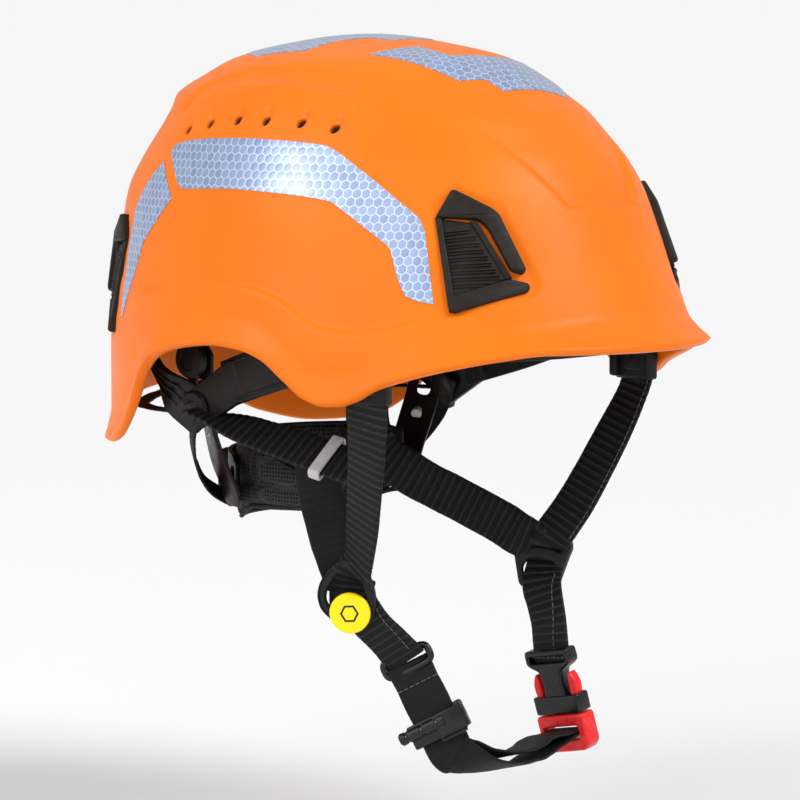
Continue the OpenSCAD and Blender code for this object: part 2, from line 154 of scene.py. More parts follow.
def polygon_depth(q, polygon):
    """Distance of 2D points to a polygon's edge, positive inside."""
    poly = np.asarray(polygon, float)
    best = np.full(len(q), np.inf)
    inside = np.zeros(len(q), bool)
    for a, b in zip(poly, np.roll(poly, -1, axis=0)):
        ab = b - a
        t = np.clip(((q - a) @ ab) / (ab @ ab), 0, 1)
        best = np.minimum(best, np.linalg.norm(q - a - t[:, None] * ab, axis=1))
        crosses = (a[1] > q[:, 1]) != (b[1] > q[:, 1])
        rise = ab[1] if ab[1] else 1e-9
        inside ^= crosses & (q[:, 0] < a[0] + (q[:, 1] - a[1]) * ab[0] / rise)
    return np.where(inside, best, -best)


def rounded(points, radius, steps=4):
    """An outline with its corners cut by arcs, radius being one number or one a corner."""
    p = [Vector(q) for q in points]
    radii = radius if hasattr(radius, "__len__") else [radius] * len(p)
    out = []
    for i, corner in enumerate(p):
        before, after = p[i - 1] - corner, p[(i + 1) % len(p)] - corner
        reach = min(radii[i], before.length * 0.45, after.length * 0.45)
        start, end = corner + before.normalized() * reach, corner + after.normalized() * reach
        for k in range(steps + 1):
            t = k / steps
            out.append(tuple(start * (1 - t) ** 2 + corner * 2 * t * (1 - t) + end * t * t))
    return out


def frame_at(at, x_dir, z_dir):
    """Matrix of the CAD model's placed(): x and z along two directions, in millimetres."""
    z = unit(z_dir)
    x = np.asarray(x_dir, float)
    x = unit(x - z * (x @ z))
    y = np.cross(z, x)
    m = Matrix.Identity(4)
    for k in range(3):
        m[k][0], m[k][1], m[k][2], m[k][3] = x[k], y[k], z[k], at[k]
    return m


def mirrored(points, side=-1):
    return [(side * p[0],) + tuple(p[1:]) for p in points]


def box_outline(left, low, right, high, radius):
    """A rectangle with its corners cut by arcs."""
    return rounded([(left, low), (right, low), (right, high), (left, high)], radius)


# ---------------------------------------------------------------- meshes and pieces
HANDS = ((-1, "right"), (1, "left"))


def linked(name, data):
    """A new object in the scene."""
    obj = bpy.data.objects.new(name, data)
    bpy.context.scene.collection.objects.link(obj)
    return obj


def baked(obj):
    """The mesh of an object with its modifiers applied; the object is removed."""
    bpy.context.view_layer.update()
    graph = bpy.context.evaluated_depsgraph_get()
    mesh = bpy.data.meshes.new_from_object(obj.evaluated_get(graph))
    bpy.data.objects.remove(obj)
    return mesh


@contextmanager
def editing(mesh):
    """A bmesh of a mesh, written back at the end."""
    bm = bmesh.new()
    bm.from_mesh(mesh)
    yield bm
    bm.to_mesh(mesh)
    bm.free()


def mesh_of(name, verts, faces, smooth=True):
    """A Blender mesh from points in millimetres."""
    mesh = bpy.data.meshes.new(name)
    mesh.from_pydata((np.asarray(verts, float) * MM).tolist(), [], faces)
    mesh.validate()
    if smooth:
        mesh.shade_smooth()
    return mesh


def outward(mesh):
    with editing(mesh) as bm:
        bmesh.ops.recalc_face_normals(bm, faces=bm.faces)
    return mesh


def sharp_by_angle(mesh, degrees=32):
    mesh.shade_smooth()
    mesh.set_sharp_from_angle(angle=math.radians(degrees))
    return mesh


def joined(name, meshes):
    """One mesh out of several, which keep their material indices."""
    bm = bmesh.new()
    for part in meshes:
        bm.from_mesh(part)
    mesh = bpy.data.meshes.new(name)
    bm.to_mesh(mesh)
    bm.free()
    for part in meshes:
        bpy.data.meshes.remove(part)
    return mesh


def moved(mesh, matrix):
    """The mesh taken through a matrix that is in millimetres."""
    m = matrix.copy()
    m.translation = m.translation * MM
    mesh.transform(m)
    if m.determinant() < 0:
        mesh.flip_normals()
    return mesh


def shifted(mesh, x=0.0, y=0.0, z=0.0):
    return moved(mesh, Matrix.Translation((x, y, z)))


def to_side(mesh, side):
    """The mesh as it is for a side of 1, and mirrored for -1."""
    return moved(mesh, Matrix.Diagonal((side, 1, 1, 1)))


def double_sheet(rows, columns):
    """Faces of two like grids of points, one over the other, closed round their rim."""
    count, faces = rows * columns, []
    for i in range(rows - 1):
        for j in range(columns - 1):
            q = [i * columns + j, i * columns + j + 1, (i + 1) * columns + j + 1,
                 (i + 1) * columns + j]
            faces += [q, [count + k for k in q[::-1]]]
    last = columns - 1
    rim = (list(range(columns)) + [i * columns + last for i in range(1, rows)]
           + [(rows - 1) * columns + j for j in range(last - 1, -1, -1)]
           + [i * columns for i in range(rows - 2, 0, -1)])
    return faces + [[b, a, count + a, count + b] for a, b in zip(rim, rim[1:] + rim[:1])]


def remapped(mesh, function):
    """The mesh with each point moved by function, which takes and gives millimetres."""
    co = np.empty(len(mesh.vertices) * 3)
    mesh.vertices.foreach_get("co", co)
    co = function(co.reshape(-1, 3) / MM) * MM
    mesh.vertices.foreach_set("co", co.ravel())
    mesh.update()
    return mesh


def plate(outline, holes=(), low=-1, high=1, bevel=0.5, segments=2):
    """A flat part with rounded edges, in its own x-y plane from low to high."""
    curve = bpy.data.curves.new("plate", "CURVE")
    curve.dimensions = "2D"
    curve.fill_mode = "BOTH"
    curve.extrude = ((high - low) / 2 - bevel) * MM
    curve.bevel_depth = bevel * MM
    curve.bevel_resolution = segments
    curve.offset = -bevel * MM
    for k, loop in enumerate([outline, *holes]):
        loop = np.asarray(loop, float)
        area = np.sum(loop[:, 0] * np.roll(loop[:, 1], -1) - loop[:, 1] * np.roll(loop[:, 0], -1))
        if (area > 0) == (k == 0):
            loop = loop[::-1]
        spline = curve.splines.new("POLY")
        spline.points.add(len(loop) - 1)
        for point, (x, y) in zip(spline.points, loop):
            point.co = (x * MM, y * MM, 0, 1)
        spline.use_cyclic_u = True
    mesh = baked(linked("plate", curve))
    bpy.data.curves.remove(curve)
    with editing(mesh) as bm:
        bmesh.ops.remove_doubles(bm, verts=bm.verts, dist=0.01 * MM)
        bmesh.ops.recalc_face_normals(bm, faces=bm.faces)
    mesh.materials.clear()
    return sharp_by_angle(shifted(mesh, z=(low + high) / 2))


def block(low, high, bevel=0.6, segments=2, taper=(1, 1)):
    """A box with rounded edges; taper scales its top in x and y."""
    low, high = np.asarray(low, float), np.asarray(high, float)
    bm = bmesh.new()
    bmesh.ops.create_cube(bm, size=1)
    mid, size = (low + high) / 2, high - low
    for v in bm.verts:
        scale = taper if v.co.z > 0 else (1, 1)
        v.co = Vector((mid[0] + v.co.x * size[0] * scale[0], mid[1] + v.co.y * size[1] * scale[1],
                       mid[2] + v.co.z * size[2])) * MM
    bmesh.ops.bevel(bm, geom=bm.edges, offset=bevel * MM, segments=segments, profile=0.5,
                    affect="EDGES")
    mesh = bpy.data.meshes.new("block")
    bm.to_mesh(mesh)
    bm.free()
    return sharp_by_angle(mesh)


def turned(profile, sides=64, wobble=None):
    """A turned part about z from (radius, height) points; wobble changes each radius."""
    verts, faces = [], []
    n = len(profile)
    for j in range(sides):
        a = 2 * math.pi * j / sides
        for r, z in profile:
            r = wobble(r, z, a) if wobble else r
            verts.append((r * math.cos(a), r * math.sin(a), z))
    for j in range(sides):
        k = (j + 1) % sides
        for i in range(n - 1):
            faces.append((j * n + i, k * n + i, k * n + i + 1, j * n + i + 1))
    faces.append([j * n for j in range(sides)][::-1])
    faces.append([j * n + n - 1 for j in range(sides)])
    return sharp_by_angle(outward(mesh_of("turned", verts, faces)))


def tube(points, radius, sides=10, closed=False):
    """A round bar or thread through points."""
    p = np.asarray(points, float)
    n = len(p)
    if closed:
        t = unit(np.roll(p, -1, axis=0) - np.roll(p, 1, axis=0))
    else:
        t = unit(np.gradient(p, axis=0))
    normal = np.cross(t[0], (0.3, 0.2, 0.93))
    verts = []
    for i in range(n):
        normal = normal - t[i] * (normal @ t[i])
        normal = unit(normal)
        side = np.cross(t[i], normal)
        for k in range(sides):
            a = 2 * math.pi * k / sides
            verts.append(p[i] + radius * (normal * math.cos(a) + side * math.sin(a)))
    faces = []
    for i in range(n if closed else n - 1):
        for k in range(sides):
            j = (i + 1) % n
            faces.append((i * sides + k, j * sides + k, j * sides + (k + 1) % sides,
                          i * sides + (k + 1) % sides))
    if not closed:
        faces.append(list(range(sides))[::-1])
        faces.append([(n - 1) * sides + k for k in range(sides)])
    return outward(mesh_of("tube", verts, faces))


def piece(name, mesh, material, body, replaces=()):
    """A finished piece, which rides on a body and may stand for CAD nodes."""
    mesh.name = name
    obj = linked(name, mesh)
    mesh.materials.append(material)
    if body:
        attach(obj, body)
    if replaces:
        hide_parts(*replaces)
    return obj


# ---------------------------------------------------------------- materials
class Paint:
    """A Principled material being put together. Sockets take a number or another node's output."""

    def __init__(self, name, color, roughness=0.5, **constants):
        self.material = bpy.data.materials.new(name)
        self.material.use_nodes = True
        self.tree = self.material.node_tree
        self.shader = self.tree.nodes["Principled BSDF"]
        self.set(self.shader, "Base Color", (*color, 1))
        self.set(self.shader, "Roughness", roughness)
        for socket, value in constants.items():
            self.set(self.shader, socket.replace("_", " "), value)
        self.material.diffuse_color = (*color, 1)

    def set(self, node, socket, value):
        if isinstance(value, bpy.types.NodeSocket):
            self.tree.links.new(value, node.inputs[socket])
        else:
            node.inputs[socket].default_value = value

    def node(self, kind, inputs=None, **settings):
        node = self.tree.nodes.new(kind)
        for key, value in settings.items():
            setattr(node, key, value)
        for socket, value in (inputs or {}).items():
            self.set(node, socket, value)
        return node

    def math(self, operation, *values):
        return self.node("ShaderNodeMath", dict(enumerate(values)), operation=operation).outputs[0]

    def vector(self, operation, *values):
        node = self.node("ShaderNodeVectorMath", dict(enumerate(values)), operation=operation)
        return node.outputs["Value" if operation in ("DOT_PRODUCT", "LENGTH") else "Vector"]

    def place(self):
        """Where a point is on the object, in millimetres."""
        at = self.node("ShaderNodeTexCoord").outputs["Object"]
        return self.vector("MULTIPLY", at, (1000, 1000, 1000))

    def uv(self):
        return self.node("ShaderNodeUVMap", uv_map="mm").outputs["UV"]

    def noise(self, at, size, detail=3, roughness=0.55):
        """Noise from 0 to 1 whose lumps are about size millimetres wide."""
        inputs = {"Vector": at, "Scale": 1 / size, "Detail": detail, "Roughness": roughness}
        return self.node("ShaderNodeTexNoise", inputs).outputs["Fac"]

    def spread(self, value, low, high, to_low=0.0, to_high=1.0):
        inputs = {"Value": value, "From Min": low, "From Max": high, "To Min": to_low,
                  "To Max": to_high}
        return self.node("ShaderNodeMapRange", inputs).outputs["Result"]

    def mix(self, factor, first, second):
        node = self.node("ShaderNodeMix", data_type="RGBA")
        self.set(node, 0, factor)
        for socket, color in ((6, first), (7, second)):
            given = isinstance(color, bpy.types.NodeSocket)
            self.set(node, socket, color if given else (*color, 1))
        return node.outputs[2]

    def bump(self, height, depth, strength=1.0, normal=None):
        """Bump whose height of 1 stands for depth millimetres."""
        node = self.node("ShaderNodeBump", {"Height": height, "Distance": depth * MM,
                                            "Strength": strength})
        if normal is not None:
            self.set(node, "Normal", normal)
        return node.outputs["Normal"]

    def finish(self, color=None, roughness=None, normal=None):
        for socket, value in (("Base Color", color), ("Roughness", roughness), ("Normal", normal)):
            if value is not None:
                self.set(self.shader, socket, value)
        return self.material


def shell_paint():
    """Satin moulded shell: slight mottling, fine peel, faint scuffs, and near-black in the vents:
    the black liner behind them and painted shade in their depth.
    """
    p = Paint("shell_orange", (0.9, 0.195, 0.012), 0.42, Specular_IOR_Level=0.22)
    at = p.place()
    mottle = p.spread(p.noise(at, 60, 2), 0.3, 0.7)
    color = p.mix(mottle, (0.88, 0.17, 0.002), (0.94, 0.195, 0.004))
    # painted shade: near-black where each vent hole is, standing in for the shade in its open depth
    # over the black liner behind it
    hole = p.node("ShaderNodeAttribute", attribute_name="hole").outputs["Fac"]
    color = p.mix(hole, color, (0.008, 0.007, 0.007))
    scuff = p.spread(p.noise(at, 9, 6, 0.7), 0.62, 0.8)
    roughness = p.math("ADD", p.spread(p.noise(at, 14, 4), 0.3, 0.7, 0.36, 0.46),
                       p.math("MULTIPLY", scuff, 0.08))
    peel = p.bump(p.noise(at, 1.3, 2), 0.02, 0.35)
    return p.finish(color, roughness, peel)


def plastic_paint(name, color, grain=0.45, roughness=0.45, depth=0.05, wear=0.03, **constants):
    """Moulded plastic with a fine spark-eroded grain and slightly rubbed patches."""
    constants.setdefault("Specular_IOR_Level", 0.25)
    p = Paint(name, color, roughness, **constants)
    at = p.place()
    rubbed = p.spread(p.noise(at, 7, 5, 0.65), 0.45, 0.75)
    light = tuple(min(1, c + wear) for c in color)
    tint = p.mix(rubbed, color, light)
    gloss = p.spread(p.noise(at, 3, 3), 0.3, 0.7, roughness - 0.06, roughness + 0.1)
    return p.finish(tint, gloss, p.bump(p.noise(at, grain, 2), depth, 0.6))


def foam_paint():
    """Expanded foam: fused beads with fine joints between them."""
    p = Paint("liner_foam", (0.022, 0.022, 0.023), 0.8)
    at = p.place()
    beads = p.node("ShaderNodeTexVoronoi", {"Vector": at, "Scale": 1 / 3.2},
                   feature="DISTANCE_TO_EDGE").outputs["Distance"]
    joint = p.spread(beads, 0.0, 0.12)
    tint = p.mix(joint, (0.01, 0.01, 0.01), (0.032, 0.032, 0.033))
    return p.finish(tint, None, p.bump(joint, 0.25, 0.8))


def webbing_paint(name, crest_highlight):
    """Polyester webbing: fine yarns from the mm map, and a painted highlight along the crest of
    each rib.
    """
    color = (0.004, 0.004, 0.0045)
    p = Paint(name, color, 0.6, Specular_IOR_Level=0.2)
    uv = p.uv()
    parts = p.node("ShaderNodeSeparateXYZ", {"Vector": uv})
    along, across = parts.outputs["X"], parts.outputs["Y"]
    yarn = p.math("SINE", p.math("MULTIPLY", along, 2 * math.pi / 0.85))
    warp = p.math("SINE", p.math("MULTIPLY", across, 2 * math.pi / 0.62))
    weave = p.math("MULTIPLY_ADD", p.math("MULTIPLY", yarn, warp), 0.5, 0.5)
    fuzz = p.noise(p.place(), 0.5, 4, 0.7)
    height = p.math("ADD", weave, p.math("MULTIPLY", fuzz, 0.6))
    lint = p.spread(p.noise(p.place(), 1.6, 5, 0.8), 0.5, 0.85)
    shade = p.math("MULTIPLY", weave, p.math("ADD", 0.25, lint))
    # painted highlight: a thin lighter line along each rib's crest, scaled by the second argument
    rib = p.math("ABSOLUTE", p.math("SINE", p.math("MULTIPLY", along, math.pi / RIB_PITCH)))
    line = p.math("MULTIPLY", p.math("POWER", rib, 10.0), p.math("MULTIPLY_ADD", lint, 0.8, 0.25))
    tint = p.mix(shade, color, (0.017, 0.017, 0.018))
    tint = p.mix(p.math("MULTIPLY", line, crest_highlight), tint, (0.075, 0.075, 0.08))
    return p.finish(tint, None, p.bump(height, 0.12, 0.7))


def mesh_fabric_paint():
    """Spacer mesh: rows of small open cells over a dark ground."""
    p = Paint("pad_mesh", (0.008, 0.008, 0.009), 0.8, Specular_IOR_Level=0.2)
    at = p.place()
    cells = p.node("ShaderNodeTexVoronoi", {"Vector": at, "Scale": 1 / 1.7, "Randomness": 0.25},
                   feature="DISTANCE_TO_EDGE").outputs["Distance"]
    rim = p.spread(cells, 0.05, 0.3, 1.0, 0.0)
    height = p.math("ADD", rim, p.math("MULTIPLY", p.noise(at, 0.4, 3), 0.3))
    tint = p.mix(rim, (0.004, 0.004, 0.0045), (0.045, 0.045, 0.048))
    return p.finish(tint, None, p.bump(height, 0.35, 0.9))


def hex_film_paint():
    """Reflective film: sealed hexagonal cells with pale borders, each a slightly other tone."""
    pitch, line = 4.3, 0.055
    p = Paint("hex_film", (0.3, 0.4, 0.62), 0.3, Metallic=0.35, Coat_Weight=0.5,
              Coat_Roughness=0.22)
    size, half, far = (1, 1.7320508, 1), (0.5, 0.8660254, 0), (400, 692.8203, 0)
    uv = p.vector("ADD", p.vector("MULTIPLY", p.uv(), (1 / pitch, 1 / pitch, 0)), far)
    first = p.vector("SUBTRACT", p.vector("MODULO", uv, size), half)
    second = p.vector("SUBTRACT", p.vector("MODULO", p.vector("SUBTRACT", uv, half), size), half)
    nearer = p.math("LESS_THAN", p.vector("DOT_PRODUCT", second, second),
                    p.vector("DOT_PRODUCT", first, first))
    pick = p.node("ShaderNodeMix", data_type="VECTOR")
    p.set(pick, 0, nearer)
    p.set(pick, 4, first)
    p.set(pick, 5, second)
    cell = pick.outputs[1]
    folded = p.vector("ABSOLUTE", cell)
    slanted = p.vector("DOT_PRODUCT", folded, half)
    flat = p.node("ShaderNodeSeparateXYZ", {"Vector": folded}).outputs["X"]
    reach = p.math("MAXIMUM", slanted, flat)
    border = p.spread(reach, 0.5 - line * 1.5, 0.5 - line * 0.6)
    middle = p.vector("SUBTRACT", uv, cell)
    tone = p.node("ShaderNodeTexWhiteNoise", noise_dimensions="2D",
                  inputs={"Vector": p.vector("SNAP", middle, (0.5, 0.8660254, 1))}).outputs["Value"]
    inside = p.mix(tone, (0.20, 0.27, 0.47), (0.30, 0.38, 0.60))
    grain = p.noise(p.vector("MULTIPLY", p.uv(), (1, 1, 0)), 0.35, 2)
    inside = p.mix(p.spread(grain, 0.35, 0.65, 0.0, 0.35), inside, (0.42, 0.5, 0.7))
    color = p.mix(border, inside, (0.56, 0.66, 0.86))
    dome = p.math("SUBTRACT", 1.0, p.math("POWER", p.math("MULTIPLY", reach, 2.0), 2.0))
    height = p.math("ADD", dome, p.math("MULTIPLY", border, 0.35))
    return p.finish(color, p.spread(grain, 0.3, 0.7, 0.24, 0.4), p.bump(height, 0.10, 0.6))


PAINT = {
    "orange": shell_paint(),
    "foam": foam_paint(),
    # the second number scales the painted highlight on the rib crests
    "webbing": webbing_paint("webbing_ribbed", 1.0),
    "plain_web": webbing_paint("webbing_plain", 0.12),
    "stitch": plastic_paint("stitch_thread", (0.1, 0.1, 0.105), 0.3, 0.7, 0.05, 0.05),
    "piping": plastic_paint("pad_piping", (0.01, 0.01, 0.011), 0.5, 0.7, 0.08, 0.015),
    "mesh": mesh_fabric_paint(),
    "film": hex_film_paint(),
    "black": plastic_paint("plastic_black", (0.005, 0.0045, 0.004), wear=0.004),
    "clip": plastic_paint("clip_black", (0.013, 0.0085, 0.006), 0.5, 0.5, 0.06, 0.008),
    "gloss": plastic_paint("gloss_black", (0.004, 0.004, 0.0045), 0.7, 0.28, 0.015, 0.003,
                           Specular_IOR_Level=0.45),
    "divider": plastic_paint("divider_grey", (0.012, 0.012, 0.013), 0.5, 0.45, 0.05, 0.008),
    "yoke": plastic_paint("yoke_black", (0.006, 0.0045, 0.004), 0.6, 0.4, 0.03, 0.004),
    "arm": plastic_paint("arm_brown", (0.01, 0.0045, 0.003), 0.6, 0.36, 0.03, 0.006),
    "rivet": plastic_paint("rivet_white", (0.75, 0.75, 0.73), 0.6, 0.35, 0.02, 0.05),
    "yellow": plastic_paint("cap_yellow", (1.0, 0.82, 0.0), 0.8, 0.32, 0.01, 0.0,
                            Coat_Weight=0.3, Coat_Roughness=0.1),
    "ink": plastic_paint("cap_ink", (0.012, 0.012, 0.012), 0.5, 0.5, 0.01, 0.005),
    "red": plastic_paint("buckle_red", (0.8, 0.012, 0.014), 0.7, 0.3, 0.015, 0.04,
                         Coat_Weight=0.25, Coat_Roughness=0.15),
    "grey": plastic_paint("keeper_grey", (0.5, 0.5, 0.5), 0.6, 0.4, 0.03, 0.12),
    "pale": plastic_paint("gear_pale", (0.6, 0.6, 0.56), 0.6, 0.4, 0.03, 0.05),
}

# ---------------------------------------------------------------- shell
COLUMNS, ROWS, INNER_ROWS, RIM_ROWS = 480, 150, 16, 4
ROW_SPREAD = 1.8
DEPTH_ROOTS = np.sqrt(np.maximum(0, 1 - STATIONS[:, 0]))
FLARE_BAND = 13
VENTS = [(55.5, 79.8), (40.5, 82.6), (23.5, 84.4), (7.5, 84.4), (-10.5, 83.8), (-26.5, 81.8)]
VENT_POD = [(74, 72), (66, 84), (57, 92), (36, 98), (7, 99), (-20, 95), (-26, 93), (-34, 82),
            (-42, 73), (-48, 64), (0, 58), (64, 60)]
SIDE_FROM = 30  # the sides of the shell lie further out than this
POD_HEIGHT, VALLEY_DEPTH, SCOOP_DEPTH, BORE_DEPTH = 1.5, 1.5, 1.1, 1.7
PANEL_FOOT, PANEL_HALF, PANEL_SPLAY, PANEL_RAMP = 50, 22.5, 0.6, 3.4
PANEL_DEPTH, POCKET_DEPTH, BAND_PROUD, LIP_PROUD = 2.6, 0.9, 1.5, 0.7
CLIP_POCKET = [(-19, 23), (-10, 33), (10, 24), (24, -5), (25.5, -12), (20, -16), (-10, -24),
               (-15, -22)]
CLIP_FRONT = ((-60, -93, 30), (0.71, -0.704, 0), (-0.668, -0.673, 0.319))
CLIP_REAR = ((-65, 108, 14), (-0.66, -0.75, 0), (-0.74, 0.64, 0.14))


def station(h, k):
    return smooth_lookup(np.sqrt(np.maximum(0, 1 - h)), DEPTH_ROOTS, STATIONS[:, k])


def heading(a):
    return np.degrees(np.arctan2(np.abs(SHELL_WIDTH / 2 * np.sin(a)),
                                 SHELL_LENGTH / 2 * np.cos(a) - 2))


def edge_z(a):
    return smooth_lookup(heading(a), EDGE_LINE[:, 0], EDGE_LINE[:, 1])


def flare(a, z):
    """How far the rim stands out: a crisp brim band in front, a soft one at the sides."""
    turn = heading(a)
    front = ease((46 - turn) / 34)
    crease = smooth_lookup(turn, BRIM_CREASE[:, 0], BRIM_CREASE[:, 1])
    edge = edge_z(a)
    brim = np.clip((crease - z) / np.maximum(crease - edge, 4), 0, 1) ** 1.15
    side = ease(1 - (z - edge) / FLARE_BAND)
    return BRIM_REACH * front * brim + RIM_FLARE * (1 - front) * side


def skin(a, z, inset):
    h = (z + inset) / CROWN
    out = flare(a, z) - inset
    w = np.maximum(0.4, station(h, 1) * SHELL_WIDTH / 2 + out)
    l = np.maximum(0.4, station(h, 2) * SHELL_LENGTH / 2 + out)
    return np.stack([w * np.sin(a), station(h, 3) - l * np.cos(a), z], -1)


def column_angles():
    """Angles round the shell, closer together at the vents, clips and front corners."""
    a = np.linspace(0, 2 * math.pi, 4001)
    turn = np.degrees(np.arccos(np.cos(a)))
    dense = 1 + 1.2 * ease((turn - 45) / 12) * ease((128 - turn) / 12)
    dense += 0.5 * ease((turn - 6) / 8) * ease((50 - turn) / 12)
    total = np.concatenate([[0], np.cumsum((dense[1:] + dense[:-1]) / 2)])
    return np.interp(np.arange(COLUMNS) / COLUMNS * total[-1], total, a)


def wall_rows(angles, inset, rows):
    """Rings of points from near the apex down to the edge."""
    low = edge_z(angles)
    top = CROWN - inset
    return [skin(angles, top - (top - low) * (i / rows) ** ROW_SPREAD, inset)
            for i in range(1, rows + 1)]


def shell_detail(p):
    """How far each outer point moves along its normal, and how much painted vent shade it gets."""
    x, y, z = np.abs(p[:, 0]), p[:, 1], p[:, 2]
    side = x > SIDE_FROM
    move = np.zeros(len(p))
    # the raised pod that holds the vents, and the valley between it and the crown
    depth = polygon_depth(p[:, 1:3], VENT_POD)
    pod = ease((depth + 3.5) / 3.5)
    above = ease((z - 84) / 7) * ease((y + 26) / 9) * ease((82 - y) / 12)
    valley = ease((depth + 9.5) / 3) * (1 - pod) * above
    move += side * (POD_HEIGHT * pod * ease((z - 66) / 16) - VALLEY_DEPTH * valley)
    # vents: a scoop over each, and a pit with painted shade where the hole is
    hole = np.zeros(len(p))
    for vy, vz in VENTS:
        scoop = np.hypot((y - vy) / 3.2, (z - vz - 1.6) / 4)
        bore = np.hypot((y - vy) / 2, (z - vz) / 1.9)
        move -= side * SCOOP_DEPTH * ease((1.1 - scoop) / 0.8)
        pit = side * ease((1.15 - bore) / 0.3)
        move -= BORE_DEPTH * pit
        # mask of the painted shade in each vent, which the shell paint turns near-black
        hole = np.maximum(hole, side * ease((1.08 - bore) / 0.22))
    # sunken panel in the middle of the front: a crisp foot, and flanks that fade upwards
    half_panel = PANEL_HALF + (z - PANEL_FOOT) * PANEL_SPLAY
    panel = ease((z - PANEL_FOOT) / 2) * ease((half_panel - x) / PANEL_RAMP)
    move -= (y < -SIDE_FROM) * PANEL_DEPTH * panel * ease((90 - z) / 36)
    # shallow pockets round the four lamp clips
    for at, x_dir, z_dir in (CLIP_FRONT, CLIP_REAR):
        local = np.array(frame_at(at, x_dir, z_dir).inverted())
        q = np.stack([-x, y, z, np.ones(len(p))], 1) @ local.T
        u = q[:, 0] if at is CLIP_FRONT[0] else -q[:, 0]
        pocket = polygon_depth(np.stack([u, q[:, 1]], 1), CLIP_POCKET)
        move -= (np.abs(q[:, 2]) < 25) * POCKET_DEPTH * ease(pocket / 1.8)
    # the crease over the ears and the band below it; the rolled lip of the rim is added in
    # make_shell
    turn = np.degrees(np.arctan2(x, -(y - 2)))
    crease = smooth_lookup(turn, SIDE_CREASE[:, 0], SIDE_CREASE[:, 1])
    band = ease((turn - 34) / 12) * ease((132 - turn) / 16)
    move += BAND_PROUD * band * ease((crease - z + 0.8) / 2)
    return move, hole


def edge_height(p):
    turn = np.degrees(np.arctan2(np.abs(p[:, 0]), -(p[:, 1] - 2)))
    return smooth_lookup(turn, EDGE_LINE[:, 0], EDGE_LINE[:, 1])


def grid_faces(rows, columns, first=0):
    return [(first + i * columns + j, first + i * columns + (j + 1) % columns,
             first + (i + 1) * columns + (j + 1) % columns, first + (i + 1) * columns + j)
            for i in range(rows - 1) for j in range(columns)]


def base_surface():
    """A plain copy of the outer skin, which conforming parts are laid on."""
    angles = np.linspace(0, 2 * math.pi, 240, endpoint=False)
    rows = wall_rows(angles, 0, 80)
    return BVHTree.FromPolygons(np.vstack(rows).tolist(), grid_faces(80, 240))


def make_shell():
    angles = column_angles()
    outer = wall_rows(angles, 0, ROWS)
    inner = wall_rows(angles, SHELL_WALL, INNER_ROWS)
    rim = []
    for k in range(1, RIM_ROWS):
        turn = math.pi * k / RIM_ROWS
        middle, half = (outer[-1] + inner[-1]) / 2, (outer[-1] - inner[-1]) / 2
        drop = np.linalg.norm(half, axis=1, keepdims=True) * np.array([0, 0, 1]) * 0.9
        rim.append(middle + half * math.cos(turn) - drop * math.sin(turn))
    rings = outer + rim + inner[::-1]
    verts = np.vstack(rings + [[[0, STATIONS[0][3], CROWN]],
                               [[0, STATIONS[0][3], CROWN - SHELL_WALL]]])
    faces = [f[::-1] for f in grid_faces(len(rings), COLUMNS)]
    top, last = len(rings) * COLUMNS, (len(rings) - 1) * COLUMNS
    for j in range(COLUMNS):
        k = (j + 1) % COLUMNS
        faces.append((top, j, k))
        faces.append((top + 1, last + k, last + j))
    bm = bmesh.new()
    outer_mark = bm.verts.layers.float.new("outer")
    # the hole layer carries each vent's painted shade to the shell paint
    hole_mark = bm.verts.layers.float.new("hole")
    points = [bm.verts.new(v) for v in verts.tolist()]
    for f in faces:
        bm.faces.new([points[i] for i in f])
    for v in points[:ROWS * COLUMNS] + [points[top]]:
        v[outer_mark] = 1
    bmesh.ops.recalc_face_normals(bm, faces=bm.faces)
    bm.normal_update()
    near = set()
    for e in bm.edges:
        a, b = e.verts
        if a[outer_mark] < 1 or b[outer_mark] < 1 or abs(a.co.x) < SIDE_FROM:
            continue
        if any(math.hypot(a.co.y - y, a.co.z - z - 1.5) < 6.5 for y, z in VENTS):
            near.add(e)
    bmesh.ops.subdivide_edges(bm, edges=list(near), cuts=2, use_grid_fill=True, smooth=0)
    bm.normal_update()
    bm.verts.ensure_lookup_table()
    co = np.array([v.co for v in bm.verts])
    normal = np.array([v.normal for v in bm.verts])
    mark = np.array([v[outer_mark] for v in bm.verts]) > 0.99
    move, hole = shell_detail(co)
    lip = ease(1 - (co[:, 2] - edge_height(co)) / 3.2)
    co = co + normal * ((move + LIP_PROUD * lip) * mark)[:, None]
    for v, p, h, m in zip(bm.verts, co.tolist(), hole, mark):
        v.co = Vector(p) * MM
        v[hole_mark] = float(h * m)
    mesh = bpy.data.meshes.new("shell")
    bm.to_mesh(mesh)
    bm.free()
    mesh.shade_smooth()
    outer_tree = BVHTree.FromPolygons((co[:ROWS * COLUMNS]).tolist(), grid_faces(ROWS, COLUMNS))
    piece("shell_moulding", mesh, PAINT["orange"], "helmet", ["shell"])
    return outer_tree


BASE = base_surface()
OUTER = make_shell()

# ---------------------------------------------------------------- reflective patches
FILM_LIFT = 0.3
SIDE_TOP = [(76, 64, 71), (75, 60, 74), (78, 46, 76), (81, 14, 77), (77, -26, 75), (77, -32, 73),
            (71, -71, 47), (71, -74, 42), (76, -83, 13)]
SIDE_LOW = [(85, 51, 59), (88, 46, 56), (91, 15, 57), (88, -24, 55), (85, -36, 53), (81, -59, 38),
            (80, -63, 35), (81, -68, 23), (81, -72, 16), (79, -77, 14)]
REAR_TOP = [(76, 67, 67), (77, 77, 58), (76, 85, 46), (77, 88, 28), (81, 88, 0)]
REAR_LOW = [(76.5, 66.5, 66), (87, 52, 52), (86, 62, 42), (84, 72, 33), (84, 78, 18), (82.5, 86, 2)]
TOP_BACK = [(-37, -13, 112), (-15, -21, 115), (-15, -39, 111), (4, -44, 111), (22, -43, 109),
            (34, -40, 107), (44, -52, 98)]
